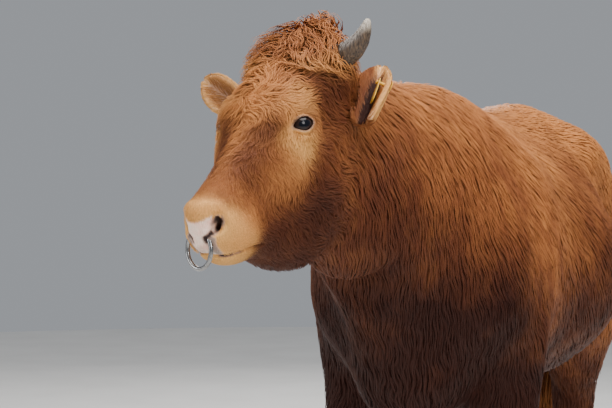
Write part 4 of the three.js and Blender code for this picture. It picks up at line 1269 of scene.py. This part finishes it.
def attribute(tree, name):
    """A number that the mesh carries at its points."""
    return add(tree, "ShaderNodeAttribute", attribute_name=name).outputs["Fac"]


def object_place(tree):
    """Places on the object, in metres."""
    return add(tree, "ShaderNodeTexCoord").outputs["Object"]


def marked_colour(tree, group, place, tone, tip):
    """The coat's colour by the markings that the mesh carries."""
    sockets = {"Place": place, "Tone": tone, "Tip": tip}
    for label in MARKS:
        sockets[label.capitalize()] = attribute(tree, label)
    return add(tree, "ShaderNodeGroup", sockets, node_tree=group).outputs[0]


def stranded(tree, group, place, stretch, strength):
    """The strands' height and their normal."""
    sockets = {"Place": place, "Stretch": stretch, "Strength": strength}
    return add(tree, "ShaderNodeGroup", sockets, node_tree=group).outputs


def hide_material(colour_group, strands_group):
    """Short hair and, where the coat leaves off, bare skin."""
    def build(tree, shader):
        place = object_place(tree)
        strands = stranded(tree, strands_group, place, (520.0, 260.0, 130.0), 0.8)
        # The hide takes the coat's painted root shade, darker where the strands' pattern is low.
        coat = marked_colour(tree, colour_group, place, 0.0, maths(tree, "MULTIPLY", strands["Height"], 0.8))
        pores = add(tree, "ShaderNodeTexVoronoi", {"Vector": place, "Scale": 330.0}).outputs[0]
        skin = mixed(tree, ranged(tree, noise(tree, place, 60.0, 3.0), 0.3, 0.7), BARE_PINK, PALE_PINK)
        # Painted shade in the nostrils, along the mouth and on the lower nose pad, and the dark edges of the
        # lips and lids.
        skin = mixed(tree, attribute(tree, "dark"), skin, DARK_SKIN_AND_SHADE)
        bare = attribute(tree, "bare")
        rough = maths(tree, "MULTIPLY", bare, 0.6)
        fit(tree, shader, {
            "Base Color": mixed(tree, bare, coat, skin),
            "Roughness": ranged(tree, bare, 0.0, 1.0, 0.85, 0.42),
            "Specular IOR Level": 0.25,
            "Normal": bumped(tree, pores, rough, 0.0006, Normal=strands["Normal"]),
        })
    return material("hide", build)


def lock_material(colour_group, strands_group):
    """The locks: each a little apart from its neighbours in tone, with strands along it."""
    def build(tree, shader):
        strip = add(tree, "ShaderNodeUVMap", uv_map="Strand").outputs[0]
        strands = stranded(tree, strands_group, strip, (7.0, 1.6, 1.0), 0.35)
        tone = ranged(tree, attribute(tree, "tone"), 0.0, 1.0, -0.22, 0.22)
        # Painted highlight: the strands' ridges are lighter. The lock's place along its strip adds the coat's
        # painted shade at the root, lighter to the tip.
        glint = ranged(tree, strands["Height"], 0.0, 1.0, -0.15, 0.15)
        tip = maths(tree, "ADD", axis_of(tree, strip, 1), glint)
        tone = maths(tree, "ADD", tone, glint)
        fit(tree, shader, {
            "Base Color": marked_colour(tree, colour_group, object_place(tree), tone, tip),
            "Roughness": 0.55,
            "Specular IOR Level": 0.18,
            "Normal": strands["Normal"],
        })
    return material("locks", build)


# The horns' colours, each from the grooves to the ridges; the upper colours are painted light where the horn
# faces up, the lower painted shade where it faces down.
HORN_LIT_UPPER = ((0.075, 0.058, 0.045, 1), (0.34, 0.31, 0.29, 1))
HORN_SHADED_LOWER = ((0.020, 0.012, 0.008, 1), (0.13, 0.080, 0.045, 1))
HORN_PALE = ((0.42, 0.35, 0.26, 1), (0.70, 0.63, 0.52, 1))
HORN_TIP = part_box("horn_left")[1].z
PALE_FROM = HORN_TIP - 0.030  # the tip is pale from here up


def horn_material():
    """Ridged and grey-brown at the root, pale towards the tip, with painted light where it faces up and
    painted shade where it faces down.
    """
    def build(tree, shader):
        place = object_place(tree)
        tip = ranged(tree, axis_of(tree, place, 2), PALE_FROM, HORN_TIP)
        fibres = noise(tree, stretched(tree, place, (420.0, 420.0, 60.0)), 1.0, 3.0)
        ridge = ranged(tree, fibres, 0.35, 0.65)
        # Painted light and shade: lighter where the surface faces up, darker where it faces down.
        facing = axis_of(tree, add(tree, "ShaderNodeNewGeometry").outputs["Normal"], 2)
        lower, upper = mixed(tree, ridge, *HORN_SHADED_LOWER), mixed(tree, ridge, *HORN_LIT_UPPER)
        base = mixed(tree, ranged(tree, facing, 0.00, 0.70), lower, upper)
        fit(tree, shader, {
            "Base Color": mixed(tree, tip, base, mixed(tree, ridge, *HORN_PALE)),
            "Roughness": 0.45,
            "Normal": bumped(tree, ridge, 0.7, 0.0015),
        })
    return material("horn", build)


CLAW_RINGS = ((0.030, 0.022, 0.017, 1), (0.075, 0.055, 0.040, 1))
CLAW_DUST = (0.22, 0.17, 0.12, 1)


def claw_material():
    """Dark horn with growth rings and a dusty edge."""
    def build(tree, shader):
        place = object_place(tree)
        sockets = {"Vector": place, "Scale": 60.0, "Distortion": 3.0, "Detail": 2.0, "Detail Scale": 3.0}
        rings = add(tree, "ShaderNodeTexWave", sockets, bands_direction="Z").outputs[1]
        dust = ranged(tree, axis_of(tree, place, 2), 0.035, 0.0, 0.0, 0.8)
        fit(tree, shader, {
            "Base Color": mixed(tree, dust, mixed(tree, rings, *CLAW_RINGS), CLAW_DUST),
            "Roughness": 0.55,
            "Normal": bumped(tree, rings, 0.4, 0.001),
        })
    return material("claw", build)


PUPIL = (0.002, 0.003, 0.006, 1)
IRIS = ((0.006, 0.003, 0.003, 1), (0.030, 0.012, 0.007, 1))
WHITE = ((0.06, 0.030, 0.020, 1), (0.16, 0.10, 0.075, 1))


def globe_material():
    """A dark brown eye with a wide pupil, wet."""
    def build(tree, shader):
        view = add(tree, "ShaderNodeUVMap", uv_map="Globe").outputs[0]
        oval = stretched(tree, view, (0.72, 1.25, 1.0))
        pupil, iris = (
            add(tree, "ShaderNodeVectorMath", {0: place}, operation="LENGTH").outputs["Value"]
            for place in (oval, view))
        rays = noise(tree, view, 18.0, 3.0)
        inner = mixed(tree, ranged(tree, pupil, 0.34, 0.42), PUPIL, mixed(tree, rays, *IRIS))
        white = mixed(tree, rays, *WHITE)
        fit(tree, shader, {
            "Base Color": mixed(tree, ranged(tree, iris, 1.05, 1.12), inner, white),
            "Roughness": 0.12,
            "Specular IOR Level": 0.30,
        })
    return material("globe", build)


STEEL = ((0.33, 0.33, 0.33, 1), (0.22, 0.21, 0.20, 1))  # bright and worn


def steel_material():
    """Steel, dulled in patches by wear."""
    def build(tree, shader):
        wear = noise(tree, object_place(tree), 240.0, 4.0)
        dull = ranged(tree, wear, 0.35, 0.65)
        fit(tree, shader, {
            "Base Color": mixed(tree, dull, *STEEL),
            "Metallic": 1.0,
            "Roughness": ranged(tree, dull, 0.0, 1.0, 0.20, 0.30),
            "Normal": bumped(tree, wear, 0.15, 0.0005),
        })
    return material("nose_ring_steel", build)


TAG_PLASTIC = ((0.78, 0.42, 0.035, 1), (0.25, 0.15, 0.06, 1))  # clean and dirty


def tag_material():
    """Yellow plastic with a little dirt on it."""
    def build(tree, shader):
        grime = noise(tree, object_place(tree), 90.0, 4.0)
        dirt = ranged(tree, grime, 0.50, 0.75, 0.0, 0.6)
        fit(tree, shader, {
            "Base Color": mixed(tree, dirt, *TAG_PLASTIC),
            "Roughness": ranged(tree, dirt, 0.0, 0.6, 0.38, 0.7),
            "Subsurface Weight": 0.08,
            "Subsurface Scale": 0.003,
            "Normal": bumped(tree, grime, 0.1, 0.0005),
        })
    return material("ear_tag_plastic", build)


# ---------------------------------------------------------------- pieces

# Where hair gives way to bare skin, in metres from a line of the face: bare before the first distance, hairy
# past the second.
PIT_BARE, SLIT_BARE, MOUTH_BARE = (0.008, 0.012), (0.004, 0.008), (0.002, 0.005)
LIP_MARGIN = 0.010  # the bare edge of the lip beside the pad
PAD_TOP, PAD_END = (0.420, 0.428), (0.098, 0.106)  # along the face and deep
PAD_FRONT = (0.029, 0.034)
PAD_HALF, PAD_NARROWING, PAD_NARROWS = 0.027, 0.011, (0.030, 0.085)  # half its width, and how that lessens
PAD_EDGE_SOFT, LIP_STARTS = 0.002, (0.056, 0.066)
LID_HAIRLESS, LID_BARE, LID_DARK = (1.30, 1.50), (1.12, 1.34), (1.08, 1.34)  # 1 is the edge of the opening


def bareness(points):
    """1 on the nose pad, in the nostrils and along the mouth."""
    local = mirrored(to_head(points))
    lines = ((PIT, PIT_BARE), (SLIT, SLIT_BARE), (MOUTH, MOUTH_BARE))
    bare = [1 - smooth(*fade, line_distance(local, line)) for line, fade in lines]
    bare += [nose_pad(local, 0.0), nose_pad(local, LIP_MARGIN)]
    return np.maximum.reduce(bare) * (headness(points) > 0.5)


def lid(points, low, high):
    """1 on the lids' edges, 0 further out."""
    return (1 - smooth(low, high, eye_plan(mirrored(to_head(points)))[0])) * (headness(points) > 0.5)


def nose_pad(local, margin):
    """1 on the bare pad between the nostrils, which narrows towards the lip."""
    across, along, deep = local.T
    half = PAD_HALF - PAD_NARROWING * smooth(*PAD_NARROWS, deep) + margin * smooth(*LIP_STARTS, deep)
    pad = smooth(*PAD_TOP, along) * (1 - smooth(*PAD_END, deep))
    return pad * (1 - smooth(half - PAD_EDGE_SOFT, half + PAD_EDGE_SOFT, across)) * smooth(*PAD_FRONT, deep)


def make_hide(skin, look):
    """The skin with its markings, and where it is bare."""
    piece = skin.shape()
    piece.data.shade_smooth()
    points, normals = coordinates(piece.data), read(piece.data.vertices, "normal", 3)
    marks, bare = marks_at(points), bareness(points)
    set_attribute(piece.data, "hairless", np.maximum(bare, lid(points, *LID_HAIRLESS)))
    bare = np.maximum(bare, 0.45 * lid(points, *LID_BARE))
    for ear in skin.ears:
        on_ear = ear.holds(points)
        marks[on_ear] = ear.marks(points[on_ear], normals[on_ear])
        hidden = np.maximum(ear.front(points[on_ear]), ear.dark(points[on_ear]))
        bare[on_ear] = 0.22 * ear.inside(normals[on_ear]) * (1 - hidden)
    local, on_head = mirrored(to_head(points)), headness(points) > 0.5
    pad = nose_pad(local, 0.0)
    lip = 0.72 * (nose_pad(local, LIP_MARGIN) - pad) * on_head
    # Painted shade on the lower part of the nose pad.
    shade = 0.30 * pad * smooth(0.060, 0.100, local[:, 2]) * on_head
    marks[:, 2] = np.maximum.reduce([marks[:, 2], lip, shade, 0.85 * lid(points, *LID_DARK)])
    for label, values in zip((*MARKS, "bare"), (*marks.T, bare)):
        set_attribute(piece.data, label, values)
    return dress(piece, look, "coat", *FLESH, "ear_left", "ear_right")


GLOBE_MAP = math.radians(60)  # the angle from the pupil's middle that is 1 on the Globe map


def make_globe(side, look):
    """An eyeball, its Globe map centred on the pupil."""
    mesh = bmesh.new()
    bmesh.ops.create_uvsphere(mesh, u_segments=48, v_segments=32, radius=EYE_RADIUS)
    flip = (SIDES[side], 1, 1)
    axes = [(axis * flip) @ HEAD for axis in (EYE_LONG, EYE_UP, EYE_OUT)]
    layer = mesh.loops.layers.uv.new("Globe")
    for face in mesh.faces:
        for loop in face.loops:
            spot = loop.vert.co / EYE_RADIUS
            reach = math.acos(max(-1, min(1, spot.z))) / GLOBE_MAP
            loop[layer].uv = spot.xy.normalized() * reach if spot.xy.length > 1e-6 else Vector((0, 0))
    turn = Matrix([(axes[0][i], axes[1][i], axes[2][i]) for i in range(3)])
    if turn.determinant() < 0:
        bmesh.ops.reverse_faces(mesh, faces=mesh.faces)
    for vert in mesh.verts:
        vert.co = turn @ vert.co + Vector(from_head(EYE_CENTRE * flip))
    data = bpy.data.meshes.new("globe_" + side)
    mesh.to_mesh(data)
    mesh.free()
    data.shade_smooth()
    dress(placed("globe_" + side, data), look, "eye", "eye_" + side)


RING_RADIUS, RING_WIRE = 0.031, 0.0039
RING_TURNS, WIRE_SIDES = 96, 20
RING_FACING = math.radians(30)  # the way the ring's axis points, round from +Y towards +X


def make_ring(look):
    """The nose ring, a closed round wire."""
    centre = centre_of("nose_ring")
    across = np.array((math.cos(RING_FACING), -math.sin(RING_FACING), 0))
    facing = np.array((math.sin(RING_FACING), math.cos(RING_FACING), 0))
    round_ring = np.linspace(0, 2 * math.pi, RING_TURNS, endpoint=False)[:, None, None]
    round_wire = np.linspace(0, 2 * math.pi, WIRE_SIDES, endpoint=False)[None, :, None]
    spoke = across * np.cos(round_ring) + (0, 0, 1) * np.sin(round_ring)
    reach = RING_RADIUS + RING_WIRE * np.cos(round_wire)
    points = centre + spoke * reach + facing * RING_WIRE * np.sin(round_wire)
    index = np.arange(RING_TURNS * WIRE_SIDES).reshape(RING_TURNS, WIRE_SIDES)
    right, up = np.roll(index, -1, axis=0), np.roll(index, -1, axis=1)
    both = np.roll(right, -1, axis=1)
    faces = np.stack([index, right, both, up], axis=-1).reshape(-1, 4)
    piece = mesh_object("nose_ring_wire", points.reshape(-1, 3), faces.tolist())
    piece.data.shade_smooth()
    dress(piece, look, "nose_ring", "nose_ring")


HORN_ROOT, HORN_BASE_RADIUS, HORN_CELL = (0.058, 0.020, 0.038), 0.020, 0.0025
DEWCLAW_BASE_RADIUS, DEWCLAW_CELL, DEWCLAW_DEEP = 0.008, 0.002, 0.006
ROOT_MARGIN, ROOT_SOFTEN = 18, 1.2  # cells kept round a horn or a dewclaw, and how far its joint is rounded
ROOT_CORE = 0.30  # how far its round core reaches from the root to its middle
CLAW_CELL, TAG_CELL, TAG_SOFTEN = 0.003, 0.0008, 0.8


def rooted(node, name, root, radius, cell):
    """A horn or a dewclaw carried on through the hair to its root."""
    values, low = rounded_values(node, cell, 1.0, ROOT_MARGIN)
    points = (grid_cells(values.shape).reshape(-1, 3) + low) * cell
    core = line_distance(points, (root, root + ROOT_CORE * (centre_of(node) - root))) - radius
    values = np.minimum(values, core.reshape(values.shape).astype(np.float32))
    piece = grid_piece(name, blurred(values, ROOT_SOFTEN), low, cell)
    piece.data.shade_smooth()
    return piece


def dewclaw_root(node, skin):
    """The place under the skin nearest to a dewclaw."""
    centre = centre_of(node)[None]
    return (centre - skin.normal(centre) * (skin.distance(centre)[:, None] + DEWCLAW_DEEP))[0]


def make_hard_parts(skin):
    """Eyes, horns, claws, dewclaws, the ring and the tag."""
    globe, horn, claw, plastic = globe_material(), horn_material(), claw_material(), tag_material()
    for side in SIDES:
        make_globe(side, globe)
        root = from_head(np.array(HORN_ROOT) * (SIDES[side], 1, 1))
        sheath = rooted("horn_" + side, "horn_sheath_" + side, root, HORN_BASE_RADIUS, HORN_CELL)
        dress(sheath, horn, "horn", "horn_" + side)
    for node in sorted(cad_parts):
        if node.startswith("claw"):
            dress(rounded(node, node + "_horn", CLAW_CELL), claw, "claw", node)
        if node.startswith("dewclaw"):
            root = dewclaw_root(node, skin)
            dress(rooted(node, node + "_horn", root, DEWCLAW_BASE_RADIUS, DEWCLAW_CELL), claw, "claw", node)
    make_ring(steel_material())
    for node, name in (("ear_tag_panel", "ear_tag_leaf"), ("ear_tag_stud", "ear_tag_button")):
        dress(rounded(node, name, TAG_CELL, TAG_SOFTEN), plastic, "ear_tag", node)


# ---------------------------------------------------------------- floor, light and camera

CAMERA = (0.793, -3.506, 1.10)
CAMERA_TURN, CAMERA_DROP = math.radians(18), math.radians(1.04)
LENS, SENSOR = 94.1, 36.0
FLOOR_RADIUS, FLOOR_SIDES = 8.0, 96
FLOOR_GREYS = ((0.70, 0.69, 0.67, 1), (0.75, 0.74, 0.72, 1))
LIGHTS_AIM = (0, 0, 0.9)
# Each lamp: its name, its place, its width, its power and its colour.
LIGHTS = (
    ("sky_panel", (0.8, -1.2, 5.0), 5.0, 420, (1.0, 0.98, 0.95)),
    ("key_panel", (3.6, -4.2, 3.2), 2.5, 130, (1.0, 0.97, 0.93)),
    ("fill_panel", (-4.2, -2.6, 2.2), 3.0, 85, (0.95, 0.97, 1.0)),
    ("back_panel", (-1.5, 4.2, 3.0), 2.5, 90, (1.0, 0.97, 0.94)),
)
SKY, SKY_STRENGTH = (0.80, 0.84, 0.90, 1), 0.40


def make_floor():
    """A round, pale floor."""
    turns = np.linspace(0, 2 * math.pi, FLOOR_SIDES, endpoint=False)
    points = FLOOR_RADIUS * np.stack([np.cos(turns), np.sin(turns), 0 * turns], axis=1)
    floor = mesh_object("floor", points, [tuple(range(FLOOR_SIDES))])

    def build(tree, shader):
        grain = ranged(tree, noise(tree, object_place(tree), 3.0), 0.3, 0.7)
        fit(tree, shader, {"Base Color": mixed(tree, grain, *FLOOR_GREYS), "Roughness": 0.8})
    floor.data.materials.append(material("pale_floor", build))


def make_light(name, place, size, power, colour):
    """A round soft lamp that faces the animal."""
    lamp = bpy.data.lights.new(name, "AREA")
    lamp.shape, lamp.size, lamp.energy, lamp.color = "DISK", size, power, colour
    lamp_object = placed(name, lamp)
    lamp_object.location = place
    lamp_object.rotation_euler = (Vector(LIGHTS_AIM) - Vector(place)).to_track_quat("-Z", "Y").to_euler()


def make_sky():
    """Even light from all round."""
    world = bpy.data.worlds.new("soft_sky")
    world.use_nodes = True
    background = world.node_tree.nodes["Background"]
    background.inputs[0].default_value = SKY
    background.inputs[1].default_value = SKY_STRENGTH
    bpy.context.scene.world = world


def make_camera():
    """The camera that the scene is seen through."""
    camera = bpy.data.cameras.new("camera")
    camera.lens, camera.sensor_width = LENS, SENSOR
    camera_object = placed("camera", camera)
    camera_object.location = CAMERA
    camera_object.rotation_euler = (math.pi / 2 - CAMERA_DROP, 0, CAMERA_TURN)
    bpy.context.scene.camera = camera_object


# ---------------------------------------------------------------- the scene

skin = Skin()
colour_group, strands_group = coat_groups()
hide = make_hide(skin, hide_material(colour_group, strands_group))
unwrapped(hide)
make_coat(skin, hide, lock_material(colour_group, strands_group))
make_hard_parts(skin)
make_floor()
for row in LIGHTS:
    make_light(*row)
make_sky()
make_camera()
